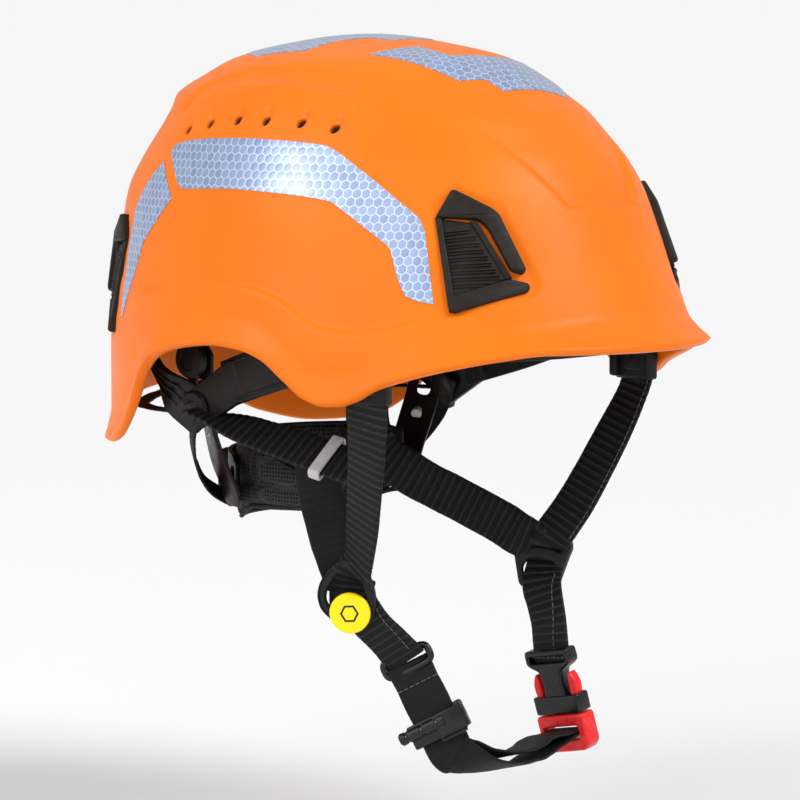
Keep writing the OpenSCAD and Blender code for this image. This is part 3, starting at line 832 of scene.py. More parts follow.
TOP_FRONT = [(-37, -13, 112), (-28, -55, 101), (-17, -60, 102), (-15, -68, 97), (26, -69, 94),
             (33, -59, 97), (44, -53, 97.5)]
CREST_BACK = [(-43, 45, 110), (-30, 62, 108), (-8, 66, 107), (10, 52, 113), (24, 44, 113)]
CREST_FRONT = [(-42, 42, 111), (-40, 20, 113), (-25, 16, 117), (-15, 6, 119), (-13, -5, 118),
               (9, -8, 118), (24, 4, 117)]


def lay_on(tree, point, lift):
    """The nearest place on the shell to a point, lifted off it."""
    at, normal, _, _ = tree.find_nearest(Vector(point))
    if normal.z < 0 and at.z > 60 or normal.dot(at - Vector((0, 5, 20))) < 0:
        normal = -normal
    return at + normal * lift


def film(name, first, second, side, flat, across=12, along=90):
    """A thin patch between two lines on the shell; flat gives each point's place on the film."""
    a = resample(np.array(mirrored(first, side), float), along)
    b = resample(np.array(mirrored(second, side), float), along)
    tops, bases = [], []
    for t in np.linspace(0, 1, across):
        for p in a * (1 - t) + b * t:
            tops.append(lay_on(OUTER, p, FILM_LIFT))
            bases.append(lay_on(OUTER, p, -FILM_LIFT))
    tops, bases = np.array(tops), np.array(bases)
    mesh = outward(mesh_of(name, np.vstack([tops, bases]), double_sheet(across, along)))
    uv = mesh.uv_layers.new(name="mm")
    places = flat(np.vstack([tops, tops]))
    loops = np.array([l.vertex_index for l in mesh.loops])
    uv.data.foreach_set("uv", places[loops].ravel())
    mesh.set_sharp_from_angle(angle=math.radians(50))
    piece(name, mesh, PAINT["film"], "helmet")


def round_the_side(p):
    """Film places on the sides: distance round the shell, and distance up its slope."""
    turn = np.arctan2(-p[:, 1] + 5, np.abs(p[:, 0]))
    radius = np.hypot(p[:, 0], p[:, 1] - 5)
    return np.stack([turn * radius, p[:, 2] * 1.12], 1)


def over_the_top(p):
    return np.stack([p[:, 0], p[:, 1] * 1.08], 1)


for side, hand in HANDS:
    film("film_side_" + hand, SIDE_TOP, SIDE_LOW, side, round_the_side)
    film("film_rear_" + hand, REAR_TOP, REAR_LOW, side, round_the_side)
film("film_top_front", TOP_BACK, TOP_FRONT, 1, over_the_top)
film("film_top_rear", CREST_BACK, CREST_FRONT, 1, over_the_top)


# ---------------------------------------------------------------- lamp clips
ARM_OUTLINE = [(-17, 18.5), (-10.5, 29.5), (-9, 29.6), (6, 21.5), (8.5, 19.5), (19.2, -4),
               (17.5, -5.6), (13, -4.4), (3.6, 14), (0, 17)]
FOOT_OUTLINE = [(-12.3, -14.8), (12.2, -7.6), (20, -9), (20.8, -11), (19.5, -13), (-10, -21.5),
                (-12.5, -21)]
PANEL_OUTLINE = [(-16.4, 18.4), (-1.2, 15.4), (12.6, -7.4), (-11.6, -15)]
RAIL_OUTLINE = [(-17, 18.8), (-14.6, 18.4), (-10.2, -15.2), (-12.6, -19)]


def clip_mesh():
    """A clip in its own plane: x towards the front, y up, z off the shell."""
    parts = [plate(rounded(ARM_OUTLINE, 1.4), low=-4, high=4.3, bevel=1.1),
             plate(rounded(FOOT_OUTLINE, 1.6), low=-4, high=3.4, bevel=1.1),
             plate(rounded(PANEL_OUTLINE, 0.6), low=-4, high=1.9, bevel=0.4),
             plate(rounded(RAIL_OUTLINE, 0.5), low=-4, high=2.9, bevel=0.5),
             plate(rounded([(-3.2, 16.4), (-0.4, 16.2), (13.4, -7.3), (11, -8)], 0.4),
                   low=-4, high=2.7, bevel=0.4)]
    for k in range(9):
        level = 12.4 - k * 2.75
        left = -14.6 + (13 - level) * 0.13
        right = -1.6 + (13 - level) * 0.56
        for step in (0, -1.1):
            start, end = (left + 1.2, level + step - 0.4), (right - 1.2, level + step + 0.4)
            bar = [(start[0], start[1] - 0.24), (end[0], end[1] - 0.24),
                   (end[0], end[1] + 0.24), (start[0], start[1] + 0.24)]
            parts.append(plate(bar, low=1, high=2.35, bevel=0.12, segments=1))
    return joined("clip", parts)


def fold_head(p):
    """The arm's head slopes down to the rear corner, and the foot to its front tip."""
    out = p.copy()
    proud = out[:, 2] > 0.5
    head = ease((-p[:, 0] - 6) / 10) * ease((p[:, 1] - 16) / 4)
    foot = ease((p[:, 0] + 2) / 22) * ease((-6 - p[:, 1]) / 2)
    out[:, 2] -= proud * (1.6 * head + 1.5 * foot)
    return out


def on_shell(matrix):
    """Takes clip points onto the shell, keeping their height off it."""
    m = np.array(matrix)
    out = Vector(m[:3, 2])

    def go(p):
        world = p * (1, 1, 0) @ m[:3, :3].T + m[:3, 3]
        result = []
        for q, height in zip(world, p[:, 2]):
            hit = BASE.ray_cast(Vector(q) + out * 40, -out, 80)[0]
            base = hit if hit is not None else Vector(q)
            result.append(base + out * (height - 0.9))
        return np.array(result)
    return go


def make_clips():
    for (at, x_dir, z_dir), label in ((CLIP_FRONT, "front"), (CLIP_REAR, "rear")):
        for side, hand in HANDS:
            mesh = to_side(remapped(clip_mesh(), fold_head), 1 if label == "front" else -1)
            remapped(mesh, on_shell(frame_at(at, x_dir, z_dir)))
            if label == "rear":
                outward(mesh)
            mesh = sharp_by_angle(to_side(mesh, -side), 35)
            piece(f"lamp_clip_{label}_{hand}", mesh, PAINT["clip"], "helmet",
                  [f"clip_{label}_{hand}"])


make_clips()


# ---------------------------------------------------------------- webbing
class Strip:
    """The middle line of a strap with its width direction, sampled evenly along its length."""

    def __init__(self, points, across, step=0.6):
        line, sides = catmull(points, 24), catmull(across, 24)
        arc = arc_lengths(line)
        self.length = arc[-1]
        self.s = np.linspace(0, arc[-1], max(8, int(arc[-1] / step)))
        self.at = np.stack([np.interp(self.s, arc, line[:, k]) for k in range(3)], 1)
        side = np.stack([np.interp(self.s, arc, sides[:, k]) for k in range(3)], 1)
        self.along = unit(np.gradient(self.at, axis=0))
        side = side - self.along * np.sum(side * self.along, 1, keepdims=True)
        self.across = unit(side)
        self.up = np.cross(self.along, self.across)

    def point(self, s, x, height=0.0):
        """Places at length s, x across and a height off the middle; s may be past the ends."""
        s = np.asarray(s, float)
        pick = [np.stack([np.interp(s, self.s, v[:, k]) for k in range(3)], -1)
                for v in (self.at, self.across, self.up, self.along)]
        over = np.where(s < 0, s, np.maximum(s - self.length, 0))
        x, height, over = (np.broadcast_to(np.asarray(v, float), s.shape)[..., None]
                           for v in (x, height, over))
        return pick[0] + pick[1] * x + pick[2] * height + pick[3] * over

    def carry(self, p):
        """Takes flat points (across, along, height) onto the strip."""
        return self.point(p[:, 1], p[:, 0], p[:, 2])


GATHER_LENGTH = 16
SEAM_INSET = 1.3  # from a strap's edge to its row of stitches


def strap_mesh(strip, width, thick, ribbed=True, sides=20, phase=0.0, seed=0, gather=(1, 1)):
    """Webbing with a flat oval section, crosswise ribs, uneven edges and gathered ends."""
    turn = (np.arange(sides) + 0.5) / sides * 2 * math.pi
    c, s = np.cos(turn), np.sin(turn)
    x = np.sign(c) * np.abs(c) ** 0.32
    y = np.sign(s) * np.abs(s) ** 0.55
    rib = np.abs(np.sin(math.pi * (strip.s + phase) / RIB_PITCH)) ** 0.6
    rib = (rib - 0.75) * (0.42 if ribbed else 0.1)
    rng = np.random.default_rng(seed)
    knots = rng.normal(0, 1, int(strip.length / 7) + 4)
    wander = np.interp(strip.s, np.linspace(0, strip.length, len(knots)), knots)
    pinch = 1 - sum((1 - g) * ease(1 - d / GATHER_LENGTH)
                    for g, d in zip(gather, (strip.s, strip.length - strip.s)))
    verts = []
    for i in range(len(strip.s)):
        half = (width / 2 + 0.13 * wander[i] + 0.25 * rib[i]) * pinch[i]
        high = thick / 2 + rib[i] * (np.abs(x) < 0.97)
        tilt = 0.12 * wander[i] * x
        offset = (strip.across[i] * (x * half)[:, None]
                  + strip.up[i] * (y * high + tilt)[:, None])
        verts.append(strip.at[i] + offset)
    n = len(strip.s)
    ends = [list(range(sides)), [(n - 1) * sides + k for k in range(sides)][::-1]]
    mesh = mesh_of("strap", np.vstack(verts), grid_faces(n, sides) + ends)
    uv = mesh.uv_layers.new(name="mm")
    index = np.array([l.vertex_index for l in mesh.loops])
    places = np.stack([strip.s[index // sides], (x * width / 2)[index % sides]], 1)
    uv.data.foreach_set("uv", places.ravel())
    return outward(mesh)


def stitches(strip, starts, height, pitch=2.5, long=1.7, radius=0.26):
    """A row of thread stitches through (length, across) points on a strap's face."""
    line = catmull([(a, b, 0) for a, b in starts], 12)
    row = resample(line, max(3, int(arc_lengths(line)[-1] / pitch) + 1))
    heading_of = unit(np.gradient(row, axis=0))
    parts = []
    for p, d in zip(row, heading_of):
        ends = [p + d * long * t for t in (-0.5, -0.3, 0, 0.3, 0.5)]
        lift = [-0.35, 0.05, 0.16, 0.05, -0.35]
        path = [strip.point(e[0], e[1], height + math.copysign(l, height))
                for e, l in zip(ends, lift)]
        parts.append(tube(np.array(path), radius, sides=5))
    return joined("stitches", parts)


def strap(name, node, points, across, width=WEB, thick=WEB_THICK, ribbed=True, seams=(),
          layers=1, blend=None, seed=0, gather=(1, 1), more=()):
    """A strap piece with its seams; layers 2 shows the doubled end as two sewn webs."""
    strip = Strip(points, across)
    if layers == 1:
        parts = [strap_mesh(strip, width, thick, ribbed, seed=seed, gather=gather)]
        parts += [strap_mesh(Strip(line, across), width, thick, ribbed, seed=seed + 1)
                  for line in more]
    else:
        parts = []
        for k in (-1, 1):
            pick = np.linspace(0, len(strip.s) - 1, max(4, int(strip.length / 7))).astype(int)
            twin = Strip(strip.point(strip.s, 0.5 * k, k * thick / 4)[pick], strip.across[pick])
            parts.append(strap_mesh(twin, width, thick / 2 - 0.1, ribbed, phase=k, seed=seed + k,
                                    gather=gather))
    body = None if blend else "helmet"
    obj = piece(name, joined(name, parts), PAINT["webbing" if ribbed else "plain_web"], body,
                [node])
    if blend:
        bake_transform(obj)
    if seams:
        rows = [stitches(strip, row, face * (thick / 2 + 0.1)) for face, row in seams]
        piece(name + "_seams", joined("seams", rows), PAINT["stitch"], body)


FRONT_LINE = [(88, -58, -24), (86, -56, -34), (80, -50, -52), (70, -39, -80), (64, -31, -99)]
FRONT_ACROSS = [(0.15, 0.99, 0), (0.15, 0.99, 0), (0, 0.99, 0.1), (-0.1, 0.97, 0.2),
                (-0.2, 0.94, 0.3)]
REAR_LEFT = [(68, 54, -22), (52, 55, -26), (35.5, 52, -38), (30, 44.4, -58.5), (39, 30.5, -72),
             (50, 12, -83), (56.5, -6, -92), (57.8, -15, -96.5), (60.4, -21.5, -99.5),
             (63.8, -25.5, -102), (66.8, -27, -106)]
REAR_LEFT_ACROSS = [(0, 1, 0), (0, 1, 0), (-0.75, 0.66, 0), (-0.3, 0.6, 0.7), (0.2, -0.3, 0.9),
                    (0.25, -0.35, 0.9), (0.25, -0.4, 0.85), (0.25, -0.6, 0.75),
                    (0.3, -0.85, 0.45), (0.3, -0.94, 0.15), (0.3, -0.94, 0)]
REAR_RUN = np.array((-0.265, 0.927, 0.265))
KEEPER_AT = np.array((-67.5, -17, -54))
KEEPER_ACROSS = (0.79, 0.05, 0.6)
REAR_RIGHT = [KEEPER_AT + REAR_RUN * d for d in (66, 56, 34, -8, -19)]
REAR_RIGHT_ACROSS = [(0.87, 0.2, 0), (0.87, 0.15, 0.1), (0.8, 0.1, 0.4), KEEPER_ACROSS,
                     KEEPER_ACROSS]
LOWER_RIGHT = [(-65, -9, -55), (-63, -9, -68), (-62, -13, -83), (-61, -18, -97)]
LOWER_RIGHT_ACROSS = [(0.5, -0.85, 0.1), (0.6, -0.8, 0), (0.7, -0.7, 0), (0.6, -0.8, 0)]
RING_AT = np.array((-40, -37, -140))
LOCK_AT = np.array((-35, -50, -166))
LOCK_RUN = unit(RING_AT - LOCK_AT)
LOCK_ACROSS = (0.55, -0.7, 0.45)
CHIN_ACROSS = (0.1, -0.88, 0.46)
BUCKLE_AT = np.array((58.6, -40.8, -172.2))
BUCKLE_ACROSS = (0, -0.985, 0.17)
BUCKLE_RUN = unit((-0.17, 0.164, 0.97))
BUCKLE_FACE = unit(np.cross(BUCKLE_RUN, BUCKLE_ACROSS))
CHIN_RIGHT = [(-58.3, -25.2, -116), (-53.8, -28.6, -123), (-47, -33, -131),
              RING_AT + (-0.3, 0.2, 0.4)]
CHIN_RIGHT_ACROSS = [(0.36, -0.82, 0.44), CHIN_ACROSS, CHIN_ACROSS, (0.3, -0.84, 0.45)]
CHIN_LOWER = [LOCK_AT + LOCK_RUN * d for d in (29.2, 21, 14, -2, -5)]
PLUG_SLOT = BUCKLE_AT - BUCKLE_RUN * 9
LOCK_FACE = unit(np.cross(LOCK_RUN, LOCK_ACROSS))
CHIN_LOOP = [LOCK_AT - LOCK_RUN * 2, LOCK_AT - LOCK_RUN * 12,
             (-28.4, -58.4, -180.2), (-20, -60, -183.8), (-5, -60, -186.2), (14, -56, -186.6),
             (34, -48, -185.5), PLUG_SLOT - BUCKLE_FACE * 11 - BUCKLE_RUN, PLUG_SLOT]
CHIN_INNER = [LOCK_AT - LOCK_RUN * 1 + LOCK_FACE * 1.8,
              LOCK_AT - LOCK_RUN * 11 + LOCK_FACE * 1.6, (-25.6, -56.8, -178.2),
              (-17, -57.5, -180.3), (-3, -57.5, -182), (15, -54, -182), (34, -47, -180.4),
              PLUG_SLOT - BUCKLE_FACE * 9 + BUCKLE_RUN * 1.6, PLUG_SLOT + BUCKLE_RUN * 1.2]
CHIN_LOOP_ACROSS = [LOCK_ACROSS, LOCK_ACROSS, (0.45, -0.8, 0.4), (0.35, -0.88, 0.3),
                    (0.2, -0.95, 0.25), (0.1, -0.98, 0.2), BUCKLE_ACROSS, BUCKLE_ACROSS,
                    BUCKLE_ACROSS]
CHIN_LEFT = [(66.4, -25.4, -103.5), (64.6, -25.8, -108), (60.1, -27.2, -113.5),
             (57, -29.6, -120), (55.6, -34, -131), BUCKLE_AT + BUCKLE_RUN * 22.6]
CHIN_LEFT_ACROSS = [(0.3, -0.94, 0), (0.3, -0.94, 0), (0.3, -0.94, 0.1),
                    (0.15, -0.97, 0.2), BUCKLE_ACROSS, BUCKLE_ACROSS]
CRADLE_STRAP = [(80.5, 46.5, -38), (77, 51, -50), (70, 56, -60), (58, 61, -71), (44, 62.6, -78)]
NAPE_HALF = [(82, 54, -38), (76, 76, -38), (60, 97, -38), (32, 112, -36)]
NAPE_LINE = mirrored(NAPE_HALF) + [(0, 116, -34)] + NAPE_HALF[::-1]


def make_straps():
    edge = WEB / 2 - SEAM_INSET
    for side, hand in HANDS:
        line, over = (([(60.2, -25, -104), (58.6, -22.8, -109), (58.2, -22.4, -121)],
                       [(0.5, 0.86, 0)] * 3) if side < 0 else
                      ([(61.4, -30.5, -98), (63.8, -28.5, -102), (66.6, -27.4, -106)],
                       [(-0.25, 0.94, 0.1), (-0.3, 0.94, 0), (-0.3, 0.94, 0)]))
        keep = len(FRONT_LINE) - (side > 0)
        strap("web_front_" + hand, "strap_front_" + hand,
              mirrored(FRONT_LINE[:keep] + line, side),
              mirrored(FRONT_ACROSS[:keep] + over, side), seed=3 + side,
              gather=(1, 1 if side < 0 else 0.85),
              seams=[(-side, [(2, -edge), (40, -edge), (78, -edge)])])
    strap("web_rear_left", "strap_rear_left", REAR_LEFT, REAR_LEFT_ACROSS, seed=5,
          gather=(1, 0.8))
    strap("web_rear_right", "strap_rear_right", REAR_RIGHT, REAR_RIGHT_ACROSS, seed=6,
          gather=(0.75, 1), seams=[(1, [(81, -edge), (81, edge)])])
    strap("web_lower_right", "strap_rear_right_lower",
          LOWER_RIGHT + [(-59.5, -19.5, -104), (-59, -19.5, -110)],
          LOWER_RIGHT_ACROSS + [(0.5, -0.86, 0)] * 2, ribbed=False, seed=7)
    strap("web_chin_right", "chin_strap_right", CHIN_RIGHT, CHIN_RIGHT_ACROSS, layers=2,
          thick=2 * WEB_THICK, seed=8, seams=[(1, [(3, edge), (16, edge - 1), (26, edge - 2)]),
                                              (-1, [(3, edge), (16, edge - 1), (26, edge - 2)])])
    strap("web_chin_lower", "chin_strap_lower", CHIN_LOWER, [LOCK_ACROSS] * 5, ribbed=False,
          seed=9, seams=[(f, [(10, -8), (10, 8)]) for f in (-1, 1)])
    strap("web_chin_left", "chin_strap_left", CHIN_LEFT, CHIN_LEFT_ACROSS, layers=2,
          thick=2 * WEB_THICK, seed=10, gather=(0.85, 1),
          seams=[(f, [(15, 7), (31, 5), (41, 3.6), (49, 3.6)]) for f in (-1, 1)]
          + [(f, [(49, -8), (50, 8)]) for f in (-1, 1)])
    loop_start, loop_end = np.array((14, -55, -186)) * MM, (PLUG_SLOT - BUCKLE_FACE * 13) * MM
    strap("web_chin_loop", "chin_loop", CHIN_LOOP, CHIN_LOOP_ACROSS, ribbed=False, seed=11,
          thick=1.6, blend=("helmet", "plug", loop_start, loop_end), more=[CHIN_INNER])
    for side, hand in HANDS:
        line = mirrored(CRADLE_STRAP, side)
        strap("web_cradle_" + hand, "cradle_strap_" + hand, line,
              mirrored([(-0.43, 0.68, 0.6)] * len(line), side), width=10, thick=1.4,
              ribbed=False, seed=14 + side,
              blend=("helmet", "cradle", np.array(line[0]) * MM, np.array(line[2]) * MM))
    strap("web_nape", "nape_strap", NAPE_LINE, [(p[0], p[1], 0) for p in NAPE_LINE], width=6,
          thick=1.6, ribbed=False, seed=12)


make_straps()

# ---------------------------------------------------------------- headband and hangers
BAND_HALF_WIDTH, BAND_HALF_LENGTH, BAND_HEIGHT, BAND_END = 80, 99, 20, 108
BAND_LEVEL = [(0, -2), (50, -3), (75, -9), (90, -17), (BAND_END, -26)]
HANGER_FRONT = (87, -57, -20)
PIVOT = (74, 50, -16)
JUNCTION = (80, 46, -37)


def band_strip(reach, inset, steps=36):
    """The headband's middle line, with its width direction upright."""
    degrees, levels = np.array(BAND_LEVEL, float).T
    points = [((BAND_HALF_WIDTH - inset) * math.sin(math.radians(a)),
               2 - (BAND_HALF_LENGTH - inset) * math.cos(math.radians(a)),
               float(np.interp(abs(a), degrees, levels)))
              for a in np.linspace(-reach, reach, steps)]
    return Strip(points, [(0, 0, 1)] * steps, step=1.2)


def long_plate(length, width, holes, low, high, bevel, start=0.0):
    """A strip's flat blank with holes, its sides divided finely enough to bend."""
    count = int(length / 3)
    along = np.linspace(start, start + length, count)
    outline = [(-width / 2, v) for v in along] + [(width / 2, v) for v in along[::-1]]
    return plate(outline, holes, low, high, bevel)


def slot_hole(x, v, half_x, half_v, radius):
    return box_outline(x - half_x, v - half_v, x + half_x, v + half_v, radius)


def make_headband():
    strip = band_strip(BAND_END, 0)
    holes = [slot_hole(0, v, 3.2, 8, 3) for v in np.linspace(46, strip.length - 46, 13)]
    blank = long_plate(strip.length, BAND_HEIGHT, holes, -1, 1, 0.45)
    ribs = [long_plate(strip.length - 8, 1.2, (), 0.8, 1.5, 0.3, 4) for _ in range(2)]
    for rib, x in zip(ribs, (-7.6, 7.6)):
        shifted(rib, x)
    mesh = remapped(joined("headband", [blank] + ribs), strip.carry)
    piece("headband_band", sharp_by_angle(mesh), PAINT["yoke"], "helmet",
          ["headband"])


def hanger_front_mesh():
    """The end fitting in front of the ear: a slotted block with a winged catch."""
    parts = [block((-10.6, -3.3, -8.5), (10.6, 3.3, 11.5), 1.5, 3),
             block((-8.2, -4.1, -4.6), (8.2, 4.1, 6), 1.2, 3),
             block((6.6, -2.6, -7.5), (11, 6.6, 8), 1.6, 3),
             block((-10.8, 2.4, 2.4), (10.8, 6.8, 11.8), 1.2, 3),
             moved(turned([(0.01, -4.6), (2.2, -4.6), (2.6, -4.2), (2.6, 4.2), (2.2, 4.6),
                           (0.01, 4.6)], 24), Matrix.Rotation(math.pi / 2, 4, "X"))]
    for k in range(4):
        parts.append(block((-7, -4.5, -3.4 + 2.2 * k), (5.5, -3.6, -2.6 + 2.2 * k), 0.3, 1))
    return joined("hanger_front", parts)


def sideways(mesh, at, out):
    """A turned part with its axis along x, at a place and some way further out."""
    return moved(mesh, frame_at((at[0] + out, at[1], at[2]), (0, 1, 0), (1, 0, 0)))


def hanger_rear_mesh():
    """The rear yoke: a moulded branch behind the ear, a webbing eye and the pivot boss."""
    strip = Strip([JUNCTION, (82, 58, -29), (80, 70, -19), (76, 80, -11), (73, 88, -6)],
                  [(0, -0.6, -0.8)] * 5, step=1)
    branch = plate(rounded([(-9, -7), (9, -7), (8.5, 8), (6.5, 20), (6.5, strip.length),
                            (-6.5, strip.length), (-6.5, 20), (-8.5, 8)], 3.5), (), -1.6, 1.6, 0.8)
    parts = [branch]
    for x in (-3.2, 0, 3.2):
        parts.append(shifted(long_plate(strip.length - 12, 1.1, (), -2.3, -1.2, 0.35, 8), x))
    yoke = remapped(joined("yoke", parts), strip.carry)
    arm = Strip([JUNCTION, (79.8, 36, -29.4), (78.8, 30, -26), (77.9, 22, -23)],
                [(0, -0.5, -0.85)] * 4, step=1)
    link = remapped(plate(rounded([(-8, -6), (8, -6), (9.5, arm.length), (-9.5, arm.length)], 4),
                          (), -1.3, 1.3, 0.6), arm.carry)
    boss = [(0.01, -1.8), (7.4, -1.8), (8.2, -1), (8.2, 1.2), (7.2, 2.2), (4.2, 2.4), (3.6, 1.4),
            (0.01, 1.4)]
    eye = sideways(turned(boss, 48), JUNCTION, 0.5)
    disc = [(0.01, 0), (7.2, 0), (8, 0.8), (8, 3.2), (7.2, 4), (5, 4), (4.6, 3.2), (0.01, 3.2)]
    cover = sideways(turned(disc, 48), PIVOT, 2.6)
    pin = [(0.01, -5.4), (2.6, -5.4), (3, -5), (3, 1), (0.01, 1)]
    stud = sideways(turned(pin, 32), PIVOT, 3.4)
    return joined("hanger_rear", [yoke, link, eye, cover, stud])


def make_hangers():
    for side, hand in HANDS:
        front = moved(hanger_front_mesh(), frame_at(HANGER_FRONT, (0.15, 0.99, 0), (0, 0, 1)))
        piece("hanger_fitting_" + hand, to_side(front, side), PAINT["black"], "helmet",
              ["hanger_front_" + hand])
        piece("rear_yoke_" + hand, to_side(hanger_rear_mesh(), side), PAINT["yoke"], "helmet",
              ["hanger_rear_" + hand])


make_headband()
make_hangers()

# ---------------------------------------------------------------- nape cradle
CRADLE_Y, PAD_LOW, PAD_HIGH, LOOSE_END = 30, -90, -49, 20
CRADLE_RADIUS, PAD_THICK = 44, 7
HOUSING_IN, HOUSING_WALL = CRADLE_RADIUS + PAD_THICK + 0.3, 2
CASE_HALF, CASE_BACK, KNOB_Z = 22, CRADLE_Y + HOUSING_IN + HOUSING_WALL, -72
CASE_DEPTH, CASE_FACE = 7.6, CASE_BACK + 6.2
ARM_LINE = [(73.4, 50, -10), (73.4, 50, -22), (70, 50, -38), (61, 51, -60), (55.2, 50, -72),
            (53.2, 49.5, -80)]
ARM_ACROSS = [(0, 1, 0), (0, 1, 0), (-0.55, 0.83, 0), (-0.42, 0.9, 0), (-0.36, 0.93, 0),
              (-0.35, 0.93, 0)]


def make_arms():
    for side, hand in HANDS:
        strip = Strip(mirrored(ARM_LINE, side), mirrored(ARM_ACROSS, side), step=1)
        n = strip.length
        pivot_at, bore = 6.0, 3.1
        outline = ([(-7.5, v) for v in np.linspace(4, n - 3, 22)]
                   + [(-4.5, n), (4.5, n)] + [(7.5, v) for v in np.linspace(n - 3, 4, 22)]
                   + [(4.5, 0), (-4.5, 0)])
        ring = [(bore * math.cos(a), pivot_at + bore * math.sin(a))
                for a in np.linspace(0, 2 * math.pi, 24, endpoint=False)]
        window = box_outline(-3, 14.5, 3, 31, 3)
        parts = [plate(outline, (ring, window), -0.9, 0.9, 0.4)]
        for x in (-5.4, 5.4):
            parts.append(shifted(long_plate(n - 22, 0.9, (), 0.5, 1.4, 0.25, 14), x))
        mesh = remapped(joined("arm", parts), strip.carry)
        piece("cradle_arm_" + hand, outward(mesh), PAINT["arm"], "cradle",
              ["arm_" + hand])


def make_rivets():
    profile = [(0.01, -2), (2.2, -2), (2.4, -1.6), (2.4, 1.2), (2.0, 1.8), (1.2, 2.1), (0.01, 2.2)]
    parts = []
    for side in (-1, 1):
        place = frame_at((65.8, 50.4, -48), (0, 1, 0), (0.8, 0.4, 0.38))
        for turn in (0, math.pi):
            head = moved(turned(profile, 32), place @ Matrix.Rotation(turn, 4, "X"))
            parts.append(to_side(head, side))
    piece("cradle_rivets", joined("rivets", parts), PAINT["rivet"], "cradle",
          ["arm_rivets"])


def wrap_round(radius):
    """Takes flat points (distance round, height, off the wall) onto the cradle's curve."""
    def go(p):
        quarter = radius * math.pi / 2
        a = math.pi / 2 - np.clip(p[:, 0], -quarter, quarter) / radius
        r = radius + p[:, 2]
        straight = np.maximum(np.abs(p[:, 0]) - quarter, 0)
        return np.stack([r * np.cos(a), CRADLE_Y + r * np.sin(a) - straight, p[:, 1]], 1)
    return go


def sliced(mesh, cuts):
    """Cuts a flat mesh across x at each place given, so that it bends smoothly."""
    with editing(mesh) as bm:
        for x in cuts:
            bmesh.ops.bisect_plane(bm, geom=bm.verts[:] + bm.edges[:] + bm.faces[:],
                                   plane_co=(x * MM, 0, 0), plane_no=(1, 0, 0))
    return mesh


def facing_back(mesh, x, y):
    """A part made along z, turned so that z points backwards, level with the size knob."""
    return moved(mesh, frame_at((x, y, KNOB_Z), (1, 0, 0), (0, 1, 0)))


def make_housing():
    radius = HOUSING_IN + HOUSING_WALL / 2
    reach = radius * math.radians(64)
    wide = np.linspace(-reach + 6, reach - 6, 40)
    outline = ([(x, -84 + 3.5 * (abs(x) / reach) ** 3) for x in wide]
               + [(reach, -78), (reach, -63)]
               + [(x, -57 - 3 * (abs(x) / reach) ** 3) for x in wide[::-1]]
               + [(-reach, -63), (-reach, -78)])
    holes = [slot_hole(s * x, -70.5, 3.2, 6.5, 3) for s in (-1, 1) for x in (33, 43, 53)]
    flat = sliced(plate(outline, holes, -1, 1, 0.4), np.arange(-84, 85, 4))
    shellwall = remapped(flat, wrap_round(radius))
    case = plate(box_outline(-CASE_HALF, -12, CASE_HALF, 12, 5), (), -CASE_DEPTH / 2,
                 CASE_DEPTH / 2, 1.3, 3)
    case = facing_back(case, 0, CASE_FACE - CASE_DEPTH / 2)
    collar = facing_back(turned([(0.01, 0), (14.4, 0), (14, 0.5), (12.8, 0.6), (12.6, 0.2),
                                 (0.01, 0.2)], 64), 0, CASE_FACE)
    ribs = [facing_back(block((-0.5, -8, -0.4), (0.5, 8, 0.5), 0.25, 1), s * x, CASE_FACE)
            for s in (-1, 1) for x in (16.4, 18.2)]
    piece("nape_casing", joined("housing", [outward(shellwall), case, collar] + ribs),
          PAINT["black"], "cradle", ["nape_housing"])


def make_knob():
    profile = [(0.01, 0), (10.8, 0), (11.6, 0.5), (12, 1.2), (12, 5.4), (11.4, 6.4), (10.4, 7),
               (8, 7), (7.4, 6.3), (6.6, 6.1), (0.01, 6.3)]

    def fluted(r, z, a):
        return r - (1.3 * max(0, math.cos(14 * a)) ** 1.5 if r > 10 and z > 0.9 else 0)
    knob = turned(profile, 168, fluted)
    star = [moved(block((-0.7, -3.6, 6), (0.7, 3.6, 6.7), 0.3, 1),
                  Matrix.Rotation(math.radians(60 * k), 4, "Z")) for k in range(3)]
    shaft = turned([(0.01, -3), (2.9, -3), (2.9, 0.4), (0.01, 0.4)], 32)
    mesh = facing_back(joined("knob", [knob, shaft] + star), 0, CASE_FACE + 0.3)
    piece("size_wheel", mesh, PAINT["gloss"], "knob", ["size_knob"])


make_arms()
make_rivets()
make_housing()
make_knob()


# ---------------------------------------------------------------- padded parts
def pillow(name, wrap, outline_height, start, end, thick):
    """A closed pad blank: long and flat, wrapped by wrap(), with soft rounded ends."""
    nx, nz = 64, 18
    verts = []
    for layer in (1, -1):
        for i in range(nz + 1):
            for j in range(nx + 1):
                u = start + (end - start) * j / nx
                low, high = outline_height(u)
                v = low + (high - low) * i / nz
                edge = min(1, 4.5 * min(i, nz - i) / nz + 0.4)
                edge = min(edge, 0.4 + 9 * min(j, nx - j) / nx)
                verts.append((u, v, layer * thick / 2 * edge ** 0.6))
    return outward(mesh_of(name, wrap(np.array(verts, float)), double_sheet(nz + 1, nx + 1)))


CLOTH_STEPS = 20


